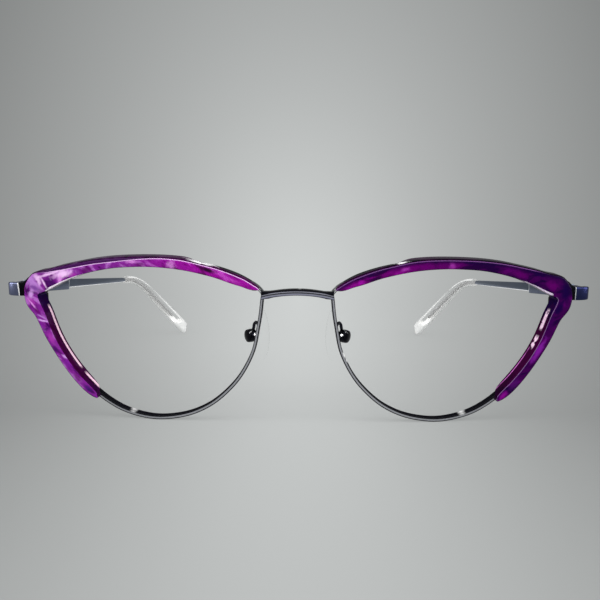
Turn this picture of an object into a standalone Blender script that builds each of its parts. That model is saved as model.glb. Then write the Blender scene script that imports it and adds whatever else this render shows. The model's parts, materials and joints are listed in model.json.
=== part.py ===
# Eyeglass frame: metal eyewires under acetate brow trims, spring hinges, clear temple tips.
# Metres, +Z up. The front faces -Y, and the wearer's left side is at +X.
# Front pieces are drawn in front coordinates: s sideways from the nose, t up from the eyewires'
# lowest point and d back from the trims' face. bend_front wraps them round the face.
# Temple pieces are drawn at the hinge: x outwards, y along the temple, z up the hinge's axis.

import math

import bmesh
import bpy
import numpy as np
from mathutils import Euler, Matrix, Vector

# Clearances
SEAT_GAP = 0.0003
RUNNING_GAP = 0.00008
CUT_OVERRUN = 0.002

# Eyewires: the outline is given along the middle of the wire
EYEWIRE_SPAN = 0.0543
EYEWIRE_RISE = 0.03765
EYEWIRE_SPACING = 0.0154
FRONT_WRAP_RADIUS = 0.265
RIM_WIDTH = 0.00086
RIM_DEPTH = 0.0022
LENS_GROOVE_DEPTH = 0.00033
RIM_STATIONS = 76

# Acetate trims: a face plate with a lip and a wall that hold the eyewire in a channel
TRIM_DEPTH = 0.0036
TRIM_LIP = 0.0005
TRIM_WALL = 0.0005
TRIM_EDGE_ROUND = 0.0006
TRIM_LENS_EDGE_ROUND = 0.00035
TRIM_STEP = 0.00015
TRIM_LOWER_END_ROUND = 0.0015
TRIM_NASAL_END_ROUND = 0.0023
TRIM_STATIONS = 92

# Bridge
BRIDGE_HEIGHT = 0.00155
BRIDGE_END_FLARE = 0.0005
BRIDGE_ARCH = 0.00082
BRIDGE_DEPTH = 0.002
BRIDGE_FACE_SETBACK = 0.0013
BRIDGE_LEVEL = 0.03065

# Closing blocks behind the split in each eyewire
RIM_SPLIT_LEVEL = 0.0286
BLOCK_WIDTH = 0.0024
BLOCK_DEPTH = 0.0024
BLOCK_HALF_HEIGHT = 0.0022
BLOCK_SCREW_RADIUS = 0.0005
BLOCK_SCREW_HEAD_RADIUS = 0.0009
BLOCK_SCREW_HEAD = 0.0004

# Lugs
LUG_REACH = 0.0077
LUG_LEVEL = 0.0292
LUG_HEIGHT = 0.0027
LUG_THICKNESS = 0.0014
LUG_FLANGE_RISE = 0.0023
LUG_EDGE_ROUND = 0.0002

# Hinges: the axis stands square to the temple
HINGE_INSET = 0.0038
HINGE_BEHIND_FRONT = 0.011206
HINGE_LEVEL = 0.0287
TEMPLE_DROP_ANGLE = math.radians(10.1)
TEMPLE_CONVERGE_ANGLE = math.radians(9.0)
KNUCKLE_RADIUS = 0.00125
KNUCKLE_PLATE = 0.00075
KNUCKLE_BACK = 0.0042
KNUCKLE_PLATE_THICKNESS = 0.0009
HINGE_SCREW_RADIUS = 0.0005
HINGE_SCREW_HEAD_RADIUS = 0.0009
HINGE_SCREW_HEAD = 0.0004

# Spring boxes with the slider and coil inside
BOX_LENGTH = 0.0172
BOX_THICKNESS = 0.0024
BOX_HEIGHT = 0.0029
BOX_BORE_RADIUS = 0.0009
BOX_EDGE_ROUND = 0.0003
SHANK_LENGTH = 0.0034
SHANK_WIDTH = 0.0009
COLLAR_THICKNESS = 0.0007
ROD_RADIUS = 0.00028
ROD_LENGTH = 0.0086
ROD_HEAD_RADIUS = 0.0006
ROD_HEAD = 0.0006
SPRING_TRAVEL = 0.0012
COIL_WIRE_RADIUS = 0.00011
COIL_RADIUS = 0.00056
COIL_TURNS = 8
COIL_POINTS_PER_TURN = 8

# Temples
BLADE_THICKNESS = 0.001
BLADE_FRONT_HEIGHT = 0.003
BLADE_BACK_HEIGHT = 0.0015
BLADE_LENGTH = 0.0640
BLADE_EDGE_ROUND = 0.00022
CORE_END_GAP = 0.0125
CORE_WIDTH = 0.0009
CORE_HEIGHT = 0.0011
TIP_REACH = 0.1215
TIP_HOOK_LENGTH = 0.0425
TIP_DROP = 0.0202
TIP_INWARD = 0.0034
TIP_BEND_RADIUS = 0.009
TIP_THICKNESS = 0.0022
TIP_FRONT_HEIGHT = 0.0023
TIP_BACK_HEIGHT = 0.0047
TIP_STATIONS = 26

# Nose pads
PAD_ARM_RADIUS = 0.00038
PAD_ARM_LEVEL = 0.0225
PAD_BOX_RADIUS = 0.0015
PAD_BOX_LENGTH = 0.0018
PAD_BOX_FLOOR = 0.0005
PAD_CUP_RADIUS = 0.00095
PAD_BOX_SIDE = 0.01125
PAD_BOX_LEVEL = 0.01995
PAD_BOX_SETBACK = 0.0066
PAD_SPLAY_ANGLE = math.radians(35.0)
PAD_LENGTH = 0.013
PAD_WIDTH = 0.0072
PAD_THICKNESS = 0.0017
PAD_STANDOFF = 0.0028
PAD_SCREW_RADIUS = 0.00022
PAD_SCREW_HEAD_RADIUS = 0.00045
PAD_SCREW_HEAD = 0.00025

# The trimmed stretch of the eyewire, from its lower end over the corner to the nose: across and
# up as shares of half the span and half the rise, then the lip and the wall as shares
TRIM_ROW_SHARES = (
    (0.448, -0.750, 0.40, 0.25),
    (0.490, -0.697, 0.60, 0.60),
    (0.529, -0.647, 0.83, 0.99),
    (0.606, -0.541, 0.99, 0.91),
    (0.690, -0.394, 0.99, 0.83),
    (0.766, -0.235, 0.99, 0.83),
    (0.827, -0.080, 0.99, 1.07),
    (0.865, 0.041, 0.99, 1.47),
    (0.902, 0.188, 0.99, 1.87),
    (0.930, 0.304, 0.99, 2.39),
    (0.973, 0.440, 0.99, 3.92),
    (0.987, 0.525, 0.99, 4.05),
    (0.963, 0.586, 0.99, 5.85),
    (0.912, 0.623, 0.99, 6.60),
    (0.823, 0.690, 0.99, 5.25),
    (0.731, 0.764, 0.99, 4.02),
    (0.569, 0.864, 0.99, 2.35),
    (0.429, 0.923, 0.99, 1.75),
    (0.271, 0.969, 0.99, 1.19),
    (0.116, 0.991, 0.99, 0.99),
    (-0.031, 1.000, 0.99, 0.95),
    (-0.179, 0.998, 1.15, 0.99),
    (-0.319, 0.990, 1.59, 0.71),
    (-0.462, 0.966, 2.03, 0.03),
    (-0.617, 0.918, 2.23, -0.21),
    (-0.764, 0.849, 2.35, -0.40),
    (-0.842, 0.796, 1.65, -0.25),
    (-0.914, 0.730, 0.70, -0.10),
    (-0.965, 0.694, 0.15, -0.10),
)

# The bare stretch, from the nose down and along the lower rim
BARE_ROW_SHARES = (
    (-0.986, 0.655),
    (-0.995, 0.613),
    (-0.984, 0.530),
    (-0.980, 0.456),
    (-0.973, 0.366),
    (-0.949, 0.174),
    (-0.928, -0.006),
    (-0.911, -0.093),
    (-0.888, -0.174),
    (-0.838, -0.320),
    (-0.772, -0.469),
    (-0.695, -0.597),
    (-0.616, -0.706),
    (-0.540, -0.792),
    (-0.381, -0.911),
    (-0.230, -0.972),
    (-0.061, -1.000),
    (0.094, -0.977),
    (0.245, -0.917),
    (0.315, -0.870),
)

# The lug seen from above, from the closing block to just before its end: across and back as
# shares of its reach and depth, then how far the flange rises above the lug's own height
LUG_ROW_SHARES = (
    (0.00, 0.000, 1.00),
    (0.16, 0.035, 0.95),
    (0.31, 0.066, 0.80),
    (0.43, 0.074, 0.46),
    (0.53, 0.074, 0.26),
    (0.60, 0.068, 0.22),
    (0.67, 0.061, 0.22),
    (0.77, 0.072, 0.22),
    (0.87, 0.098, 0.22),
    (0.945, 0.135, 0.22),
    (0.985, 0.190, 0.20),
    (1.000, 0.300, 0.12),
    (1.000, 0.420, 0.03),
    (0.970, 0.650, 0.00),
)

# Stations on a rounded end, as shares of its round, the least width left there, and the step
# along a curve, as a share of a row, that its slope is read over
END_ROUND_SHARES = (0.0, 0.04, 0.14, 0.32, 0.6)
END_LEAST_SHARE = 0.16
SLOPE_STEP_SHARE = 0.002

# The pad arm, from its seat behind the eyewire to the pad box: side, level and depth as shares
# of the way from that seat to the top of the box
PAD_ARM_ROW_SHARES = (
    (0.00, 0.00, 0.00),
    (0.05, -0.25, 0.26),
    (0.22, -0.75, 0.58),
    (0.48, -0.95, 0.86),
    (0.70, -0.45, 0.98),
    (0.80, 0.25, 1.00),
    (0.80, 1.00, 1.00),
)

COLOURS = {
    "gunmetal": (0.055, 0.055, 0.068, 0.28, 1.0),
    "acetate": (0.20, 0.045, 0.30, 0.18, 0.0),
    "steel": (0.42, 0.42, 0.44, 0.25, 1.0),
    "temple": (0.17, 0.18, 0.25, 0.3, 1.0),
    "clear": (0.85, 0.86, 0.88, 0.1, 0.0),
}

for old in list(bpy.data.objects):
    bpy.data.objects.remove(old)

part_collection = bpy.data.collections.new("eyeglass_frame")
cutter_collection = bpy.data.collections.new("cutters")
bpy.context.scene.collection.children.link(part_collection)
bpy.context.scene.collection.children.link(cutter_collection)
cutter_collection.hide_render = True


def make_material(name):
    red, green, blue, roughness, metallic = COLOURS[name]
    material = bpy.data.materials.new(name)
    material.use_nodes = True
    shader = material.node_tree.nodes["Principled BSDF"]
    shader.inputs["Base Color"].default_value = (red, green, blue, 1.0)
    shader.inputs["Roughness"].default_value = roughness
    shader.inputs["Metallic"].default_value = metallic
    return material


MATERIALS = {name: make_material(name) for name in COLOURS}


def add_empty(name, parent=None, location=(0, 0, 0), rotation=(0, 0, 0)):
    empty = bpy.data.objects.new(name, None)
    part_collection.objects.link(empty)
    empty.parent = parent
    empty.location = location
    empty.rotation_euler = rotation
    return empty


def add_piece(name, mesh, colour, parent, collection=part_collection):
    mesh.name = name
    mesh.materials.clear()
    mesh.materials.append(MATERIALS[colour])
    piece = bpy.data.objects.new(name, mesh)
    collection.objects.link(piece)
    piece.parent = parent
    mesh.shade_smooth()
    mesh.set_sharp_from_angle(angle=math.radians(35))
    return piece


# Curves and lofts


def mix(a, b, share):
    return a + (b - a) * min(max(share, 0.0), 1.0)


def spline(rows, places, closed):
    """Reads smooth rows at places, where place k is row k and the rows may form a loop."""
    rows = np.array(rows, float)
    count = len(rows)
    out = []
    for place in places:
        k = int(math.floor(place))
        if not closed:
            k = min(max(k, 0), count - 2)
        f = place - k
        if closed:
            around = [rows[(k + j) % count] for j in (-1, 0, 1, 2)]
        else:
            around = [rows[min(max(k + j, 0), count - 1)] for j in (-1, 0, 1, 2)]
        before, start, end, after = around
        knots = [0.0]
        for a, b in ((before, start), (start, end), (end, after)):
            knots.append(knots[-1] + max(np.linalg.norm((b - a)[:2]), 1e-9) ** 0.5)
        span = knots[2] - knots[1]
        leave = (start - before) / max(knots[1] - knots[0], span * 0.1)
        leave = leave - (end - before) / (knots[2] - knots[0]) + (end - start) / span
        arrive = (end - start) / span - (after - start) / (knots[3] - knots[1])
        arrive = arrive + (after - end) / max(knots[3] - knots[2], span * 0.1)
        if not closed and k == 0:
            leave = (end - start) / span
        if not closed and k == count - 2:
            arrive = (end - start) / span
        leave, arrive = leave * span, arrive * span
        a = 2 * f**3 - 3 * f**2 + 1
        b = f**3 - 2 * f**2 + f
        c = f**3 - f**2
        out.append(a * start + b * leave + (1 - a) * end + c * arrive)
    return np.array(out)


def even_places(rows, first, last, count, closed):
    """Places between first and last that are evenly spaced along the curve."""
    fine = np.linspace(first, last, 1200)
    points = spline(rows, fine, closed)[:, :2]
    steps = np.linalg.norm(np.diff(points, axis=0), axis=1)
    walked = np.concatenate([[0.0], np.cumsum(steps)])
    return np.interp(np.linspace(0.0, walked[-1], count), walked, fine)


def bend_front(s, t, d, side):
    slope = s / FRONT_WRAP_RADIUS
    cosine = 1.0 / math.sqrt(1.0 + slope * slope)
    x = s - d * slope * cosine
    y = s * s / (2.0 * FRONT_WRAP_RADIUS) + d * cosine
    return Vector((side * x, y, t))


def loft(rings, loop=False):
    """A closed mesh through rings of points, capped at both ends unless it is a loop."""
    bm = bmesh.new()
    rows = [[bm.verts.new(point) for point in ring] for ring in rings]
    around = len(rows[0])
    pairs = list(zip(rows, rows[1:]))
    if loop:
        pairs.append((rows[-1], rows[0]))
    for low, high in pairs:
        for i in range(around):
            j = (i + 1) % around
            bm.faces.new((low[i], low[j], high[j], high[i]))
    if not loop:
        bm.faces.new(rows[0])
        bm.faces.new(rows[-1])
    return finish_mesh(bm)


def finish_mesh(bm):
    bmesh.ops.recalc_face_normals(bm, faces=bm.faces)
    mesh = bpy.data.meshes.new("piece")
    bm.to_mesh(mesh)
    bm.free()
    return mesh


def prism(outline, bottom, top):
    return loft([[Vector((x, y, z)) for x, y in outline] for z in (bottom, top)])


def rod(start, end, radius, sides=20):
    """A round bar from start to end."""
    start, end = Vector(start), Vector(end)
    bm = bmesh.new()
    bmesh.ops.create_cone(
        bm,
        cap_ends=True,
        segments=sides,
        radius1=radius,
        radius2=radius,
        depth=(end - start).length,
        matrix=Matrix.Translation((start + end) / 2)
        @ (end - start).to_track_quat("Z", "Y").to_matrix().to_4x4(),
    )
    return finish_mesh(bm)


def box_mesh(low, high, place=None):
    bm = bmesh.new()
    size = [h - l for l, h in zip(low, high)]
    middle = [(h + l) / 2 for l, h in zip(low, high)]
    matrix = Matrix.Translation(middle) @ Matrix.Diagonal((*size, 1.0))
    bmesh.ops.create_cube(bm, size=1.0, matrix=matrix if place is None else place @ matrix)
    return finish_mesh(bm)


def combine(piece, others, operation):
    """Joins or cuts piece with other meshes given in its own coordinates."""
    for number, mesh in enumerate(others):
        helper = bpy.data.objects.new(f"{piece.name}_{operation.lower()}_{number}", mesh)
        cutter_collection.objects.link(helper)
        helper.parent = piece
        helper.hide_render = True
        helper.display_type = "WIRE"
        modifier = piece.modifiers.new(helper.name, "BOOLEAN")
        modifier.object = helper
        modifier.operation = operation
        modifier.solver = "EXACT"


def add_bevel(piece, width):
    modifier = piece.modifiers.new("edge_round", "BEVEL")
    modifier.width = width
    modifier.segments = 2
    modifier.limit_method = "ANGLE"
    modifier.angle_limit = math.radians(50)
    modifier.use_clamp_overlap = True


def add_wire(name, points, radius, colour, parent):
    curve = bpy.data.curves.new(name, "CURVE")
    curve.dimensions = "3D"
    curve.bevel_depth = radius
    curve.bevel_resolution = 2
    curve.use_fill_caps = True
    line = curve.splines.new("POLY")
    line.points.add(len(points) - 1)
    for point, place in zip(line.points, points):
        point.co = (*place, 1.0)
    curve.materials.append(MATERIALS[colour])
    wire = bpy.data.objects.new(name, curve)
    part_collection.objects.link(wire)
    wire.parent = parent
    return wire


# Front: eyewires, trims and bridge

HALF_SPAN = EYEWIRE_SPAN / 2
HALF_RISE = EYEWIRE_RISE / 2
EYE_MIDDLE = EYEWIRE_SPACING / 2 + HALF_SPAN
WIRE_LOW = RIM_WIDTH / 2
RIM_FACE = TRIM_DEPTH - RIM_DEPTH
TRIM_FACE_THICKNESS = RIM_FACE - SEAT_GAP
CHANNEL_HALF = RIM_WIDTH / 2 + SEAT_GAP


def eyewire_rows():
    """Each row is s, t, the trim's inner and outer offset from the wire's middle."""
    rows = []
    for across, up, lip, wall in TRIM_ROW_SHARES:
        s = EYE_MIDDLE + across * HALF_SPAN
        t = WIRE_LOW + HALF_RISE * (1.0 + up)
        rows.append((s, t, CHANNEL_HALF + lip * TRIM_LIP, CHANNEL_HALF + wall * TRIM_WALL))
    for across, up in BARE_ROW_SHARES:
        s = EYE_MIDDLE + across * HALF_SPAN
        t = WIRE_LOW + HALF_RISE * (1.0 + up)
        rows.append((s, t, 0.0, 0.0))
    return rows


EYEWIRE_ROWS = eyewire_rows()
OUTLINE = [row[:2] for row in EYEWIRE_ROWS]


def with_normals(rows, places, closed=True):
    """Points along the curve with the unit normals on its right."""
    points = spline(rows, places, closed)
    ahead = spline(rows, [p + SLOPE_STEP_SHARE for p in places], closed)[:, :2]
    behind = spline(rows, [p - SLOPE_STEP_SHARE for p in places], closed)[:, :2]
    along = ahead - behind
    along /= np.linalg.norm(along, axis=1)[:, None]
    return points, np.stack([along[:, 1], -along[:, 0]], axis=1)


def split_place():
    """The place on the outline's outer side that stands at the split's level."""
    rising = np.linspace(6.0, 12.0, 400)
    levels = spline(OUTLINE, rising, True)[:, 1]
    return float(np.interp(RIM_SPLIT_LEVEL, levels, rising))


SPLIT_PLACE = split_place()


def rim_section():
    half, deep = RIM_WIDTH / 2, RIM_DEPTH
    groove = LENS_GROOVE_DEPTH
    return (
        (half * 0.76, 0.0),
        (half, deep * 0.13),
        (half, deep * 0.87),
        (half * 0.76, deep),
        (-half * 0.80, deep),
        (-half, deep * 0.92),
        (-half, deep * 0.72),
        (groove - half, deep * 0.50),
        (-half, deep * 0.28),
        (-half, deep * 0.08),
        (-half * 0.80, 0.0),
    )


def build_eyewire(name, side, root):
    """One wire all round the lens with a V groove, open at the split behind the trim."""
    count = len(OUTLINE)
    places = even_places(OUTLINE, SPLIT_PLACE, SPLIT_PLACE + count, 1201, True)
    points = spline(OUTLINE, places, True)
    step = np.linalg.norm(points[1] - points[0])
    skipped = SEAT_GAP / 2 / step
    picked = np.interp(
        np.linspace(skipped, 1200 - skipped, RIM_STATIONS), np.arange(1201), places
    )
    points, normals = with_normals(OUTLINE, picked)
    rings = []
    for (s, t), (ns, nt) in zip(points, normals):
        ring = [bend_front(s + n * ns, t + n * nt, RIM_FACE + d, side) for n, d in rim_section()]
        rings.append(ring)
    return add_piece(name, loft(rings), "gunmetal", root)


def trim_section(inner, outer, shrink):
    """The trim's section: offsets from the wire's middle, positive away from the lens."""
    face = TRIM_FACE_THICKNESS
    step = TRIM_STEP
    grown = TRIM_DEPTH - face - step
    lip = min(max((inner - CHANNEL_HALF) / TRIM_LIP, 0.0), 1.0) * shrink
    wall = min(max((outer - CHANNEL_HALF) / (TRIM_WALL * 0.6), 0.0), 1.0) * shrink
    lip_depth = face + step + grown * lip
    wall_depth = face + step + grown * wall
    width = inner + outer
    turn = min(TRIM_EDGE_ROUND, width * 0.4)
    inner_turn = min(TRIM_LENS_EDGE_ROUND, width * 0.3)
    channel_out = min(CHANNEL_HALF, outer - step)
    channel_in = min(CHANNEL_HALF, inner - step)
    return (
        (inner_turn - inner, 0.0),
        (outer - turn, 0.0),
        (outer - turn * 0.46, turn * 0.13),
        (outer - turn * 0.14, turn * 0.46),
        (outer, turn),
        (outer, wall_depth),
        (channel_out, wall_depth),
        (channel_out, face),
        (-channel_in, face),
        (-channel_in, lip_depth),
        (-inner, lip_depth),
        (-inner, inner_turn),
        (inner_turn * 0.29 - inner, inner_turn * 0.29),
    )


def end_factor(walked, reach):
    """How much of the trim's width is left at this distance from a rounded end."""
    if walked >= reach:
        return 1.0
    left = 1.0 - walked / reach
    return math.sqrt(max(1.0 - left * left, 0.0))


def trim_stations():
    last = len(TRIM_ROW_SHARES) - 1
    places = even_places(OUTLINE, 0.0, last, 1201, True)
    points = spline(OUTLINE, places, True)
    steps = np.linalg.norm(np.diff(points, axis=0), axis=1)
    length = steps.sum()
    low_end = [TRIM_LOWER_END_ROUND * share for share in END_ROUND_SHARES]
    nasal_end = [length - TRIM_NASAL_END_ROUND * share for share in reversed(END_ROUND_SHARES)]
    inside = TRIM_STATIONS - len(low_end) - len(nasal_end)
    middle = np.linspace(TRIM_LOWER_END_ROUND, length - TRIM_NASAL_END_ROUND, inside)
    walked = [*low_end, *middle, *nasal_end]
    return walked, length, [np.interp(w / length * 1200, np.arange(1201), places) for w in walked]


def build_trim(name, side, root):
    walked, length, places = trim_stations()
    rows = EYEWIRE_ROWS[: len(TRIM_ROW_SHARES)]
    offsets = spline(rows, places, False)[:, 2:]
    points, normals = with_normals(OUTLINE, places)
    rings = []
    for w, (s, t), (ns, nt), (inner, outer) in zip(walked, points, normals, offsets):
        low = end_factor(w, TRIM_LOWER_END_ROUND)
        nasal = end_factor(length - w, TRIM_NASAL_END_ROUND)
        factor = max(min(low, nasal), END_LEAST_SHARE)
        shrink = 0.0 if factor < 0.999 else 1.0
        section = trim_section(inner * factor, outer * factor, shrink)
        rings.append([bend_front(s + n * ns, t + n * nt, d, side) for n, d in section])
    return add_piece(name, loft(rings), "acetate", root)


def round_section(width, height, turn):
    """A rounded rectangle about the origin, as (across, up) pairs."""
    half_width, half_height = width / 2 - turn, height / 2 - turn
    corners = ((1, 1), (-1, 1), (-1, -1), (1, -1))
    section = []
    for number, (sx, sz) in enumerate(corners):
        for part in range(3):
            angle = math.pi / 2 * (number + part / 2)
            x = sx * half_width + turn * math.cos(angle)
            section.append((x, sz * half_height + turn * math.sin(angle)))
    return section


def rim_outer_side(level):
    """How far the eyewire's nose side stands from the middle at this level."""
    first = len(TRIM_ROW_SHARES) + 1
    falling = np.linspace(first, first + 6.0, 400)
    points = spline(OUTLINE, falling, True)
    return float(np.interp(-level, -points[:, 1], points[:, 0])) - RIM_WIDTH / 2


def build_bridge(root):
    reach = rim_outer_side(BRIDGE_LEVEL) - SEAT_GAP
    rings = []
    for share in np.linspace(-1.0, 1.0, 25):
        side = -1.0 if share < 0 else 1.0
        level = BRIDGE_LEVEL + BRIDGE_ARCH * (1.0 - share * share)
        height = BRIDGE_HEIGHT + BRIDGE_END_FLARE * abs(share) ** 14
        ring = []
        for across, up in round_section(BRIDGE_DEPTH, height, BRIDGE_HEIGHT * 0.3):
            depth = BRIDGE_FACE_SETBACK + BRIDGE_DEPTH / 2 + across
            ring.append(bend_front(reach * abs(share), level + up, depth, side))
        rings.append(ring)
    return add_piece("bridge", loft(rings), "gunmetal", root)


# Closing blocks and lugs

BLOCK_FACE = TRIM_DEPTH + SEAT_GAP
BLOCK_SIDE = float(spline(OUTLINE, [SPLIT_PLACE], True)[0][0])


def block_frame(side):
    """Axes at the middle of the closing block's front face."""
    place = bend_front(BLOCK_SIDE, RIM_SPLIT_LEVEL, BLOCK_FACE, side)
    turn = side * math.atan(BLOCK_SIDE / FRONT_WRAP_RADIUS)
    return Matrix.Translation(place) @ Matrix.Rotation(turn, 4, "Z")


def build_closing_blocks(prefix, side, root):
    frame = block_frame(side)
    middle = BLOCK_DEPTH / 2
    reach = BLOCK_HALF_HEIGHT + SEAT_GAP
    bore = BLOCK_SCREW_RADIUS + RUNNING_GAP
    for name, sign in (("closing_block_upper", 1), ("closing_block_lower", -1)):
        ends = sorted((sign * SEAT_GAP / 2, sign * (SEAT_GAP / 2 + BLOCK_HALF_HEIGHT)))
        low = (-BLOCK_WIDTH / 2, 0.0, ends[0])
        high = (BLOCK_WIDTH / 2, BLOCK_DEPTH, ends[1])
        block = add_piece(f"{prefix}_{name}", box_mesh(low, high), "gunmetal", root)
        block.matrix_local = frame
        hole = rod((0, middle, -reach - CUT_OVERRUN), (0, middle, reach + CUT_OVERRUN), bore)
        combine(block, [hole], "DIFFERENCE")
    top = SEAT_GAP / 2 + BLOCK_HALF_HEIGHT + RUNNING_GAP
    screw_mesh = rod((0, middle, -top), (0, middle, top + BLOCK_SCREW_HEAD / 2), BLOCK_SCREW_RADIUS)
    screw = add_piece(f"{prefix}_closing_screw", screw_mesh, "steel", root)
    screw.matrix_local = frame
    radius, height = BLOCK_SCREW_HEAD_RADIUS, BLOCK_SCREW_HEAD
    head = screw_head(Vector((0, middle, top)), Vector((0, 0, 1)), radius, height)
    combine(screw, [head], "UNION")
    slot = slot_cutter(Vector((0, middle, top + height)), radius, height)
    combine(screw, [slot], "DIFFERENCE")


def screw_head(seat, axis, radius, height):
    return rod(seat, seat + axis * height, radius)


def slot_cutter(top, radius, height):
    """The driver slot across a screw head whose top is at this point, along X."""
    width = radius * 0.3
    low = (top.x - radius - CUT_OVERRUN, top.y - width / 2, top.z - height * 0.5)
    high = (top.x + radius + CUT_OVERRUN, top.y + width / 2, top.z + CUT_OVERRUN)
    return box_mesh(low, high)


HINGE_SIDE = EYEWIRE_SPACING / 2 + EYEWIRE_SPAN + LUG_REACH - HINGE_INSET
HINGE_SETBACK = HINGE_SIDE ** 2 / (2 * FRONT_WRAP_RADIUS) + HINGE_BEHIND_FRONT


def hinge_frame(side):
    """Axes at the hinge: y runs along the open temple and z up the hinge's axis."""
    place = Vector((side * HINGE_SIDE, HINGE_SETBACK, HINGE_LEVEL))
    turned = Matrix.Rotation(-TEMPLE_DROP_ANGLE, 4, "X")
    turned = turned @ Matrix.Rotation(side * TEMPLE_CONVERGE_ANGLE, 4, "Z")
    return Matrix.Translation(place) @ turned


# The blade's outer face lies at BLADE_OUT from the hinge's axis, and the lug's end is level with it
BOX_INNER = -(BOX_THICKNESS / 2 + SEAT_GAP / 3)
BOX_OUTER = BOX_INNER + BOX_THICKNESS
BLADE_IN = BOX_OUTER + SEAT_GAP
BLADE_OUT = BLADE_IN + BLADE_THICKNESS
BLADE_START = SEAT_GAP / 2


def build_lug(name, side, root):
    """A strip from the closing block, over a flat front, back to the hinge."""
    start = bend_front(
        BLOCK_SIDE + BLOCK_WIDTH / 2 + SEAT_GAP, LUG_LEVEL, BLOCK_FACE + LUG_THICKNESS / 2, 1
    )
    frame = hinge_frame(1)
    middle = (BLADE_IN + BLADE_OUT) / 2
    end = frame @ Vector((middle, -SEAT_GAP / 2, 0.0))
    before_end = frame @ Vector((middle, -LUG_THICKNESS, 0.0))
    outer = EYEWIRE_SPACING / 2 + EYEWIRE_SPAN + LUG_REACH - LUG_THICKNESS / 2
    rows = []
    for across, back, rise in LUG_ROW_SHARES:
        x = start.x + across * (outer - start.x)
        y = start.y + back * (end.y - start.y)
        rows.append((x, y, rise))
    rows.append((before_end.x, before_end.y, 0.0))
    rows.append((end.x, end.y, 0.0))
    places = even_places(rows, 0.0, len(rows) - 1.0, 30, False)
    points, normals = with_normals(rows, places, False)
    normals[-1] = (math.cos(TEMPLE_CONVERGE_ANGLE), math.sin(TEMPLE_CONVERGE_ANGLE))
    fall_start = rows[9][1]
    rings = []
    tall, turn = LUG_HEIGHT / 2, LUG_EDGE_ROUND
    total_fall = LUG_LEVEL - end.z
    for (x, y, rise), (nx, ny) in zip(points, normals):
        back = min(max((y - fall_start) / (end.y - fall_start), 0.0), 1.0)
        half = mix(LUG_THICKNESS, BLADE_THICKNESS, back * 2) / 2
        level = LUG_LEVEL - total_fall * back
        up = tall + max(rise, 0.0) * LUG_FLANGE_RISE
        # The end is cut square to the temple, which drops as it goes back
        lean = math.tan(TEMPLE_DROP_ANGLE) * back
        ring = []
        for n, z in (
            (half, turn - tall), (half, up - turn), (half - turn, up), (turn - half, up),
            (-half, up - turn), (-half, turn - tall), (turn - half, -tall), (half - turn, -tall),
        ):
            ring.append(Vector((side * (x + n * nx), y + n * ny + z * lean, level + z)))
        rings.append(ring)
    return add_piece(name, loft(rings), "gunmetal", root)


# Hinge pieces, drawn at the hinge


def disc_outline(radius, sides=24):
    turns = [2 * math.pi * k / sides for k in range(sides)]
    return [(radius * math.cos(a), radius * math.sin(a)) for a in turns]


def mirrored(mesh, side):
    """Swaps left and right for the wearer's right side."""
    if side < 0:
        bm = bmesh.new()
        bm.from_mesh(mesh)
        bmesh.ops.scale(bm, vec=(-1.0, 1.0, 1.0), verts=bm.verts)
        bmesh.ops.recalc_face_normals(bm, faces=bm.faces)
        bm.to_mesh(mesh)
        bm.free()
    return mesh


STACK = LUG_HEIGHT / 2
PLATE_IN = STACK - KNUCKLE_PLATE
TONGUE = PLATE_IN - SEAT_GAP / 2


def build_front_knuckle(name, side, axis):
    """A clevis on the lug's inner side with two eyes round the screw."""
    out = BLADE_IN - SEAT_GAP
    inner = out - KNUCKLE_PLATE_THICKNESS
    clear = KNUCKLE_RADIUS + SEAT_GAP
    back = box_mesh((inner - KNUCKLE_RADIUS / 2, -KNUCKLE_BACK, -STACK), (out, -clear, STACK))
    knuckle = add_piece(name, mirrored(back, side), "gunmetal", axis)
    arms = []
    for low, high in ((PLATE_IN, STACK), (-STACK, -PLATE_IN)):
        arms.append(prism(disc_outline(KNUCKLE_RADIUS), low, high))
        arms.append(
            box_mesh((inner - KNUCKLE_RADIUS / 4, -clear - SEAT_GAP, low), (out - SEAT_GAP, 0.0, high))
        )
    combine(knuckle, [mirrored(arm, side) for arm in arms], "UNION")
    reach = STACK + CUT_OVERRUN
    bore = rod((0, 0, -reach), (0, 0, reach), HINGE_SCREW_RADIUS + RUNNING_GAP)
    combine(knuckle, [bore], "DIFFERENCE")
    return knuckle


def build_hinge_screw(name, axis):
    top = STACK + RUNNING_GAP
    shaft = rod((0, 0, -STACK), (0, 0, top + HINGE_SCREW_HEAD / 2), HINGE_SCREW_RADIUS)
    screw = add_piece(name, shaft, "steel", axis)
    radius, height = HINGE_SCREW_HEAD_RADIUS, HINGE_SCREW_HEAD
    head = screw_head(Vector((0, 0, top)), Vector((0, 0, 1)), radius, height)
    combine(screw, [head], "UNION")
    slot = slot_cutter(Vector((0, 0, top + height)), radius, height)
    combine(screw, [slot], "DIFFERENCE")
    return screw


BOX_START = KNUCKLE_RADIUS + SEAT_GAP
BORE_SIDE = (BOX_INNER + BOX_OUTER) / 2
SHANK_END = BOX_START + SHANK_LENGTH
COLLAR_START = SHANK_END + SEAT_GAP
COIL_START = COLLAR_START + COLLAR_THICKNESS + RUNNING_GAP
ROD_END = COLLAR_START + ROD_LENGTH


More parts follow.
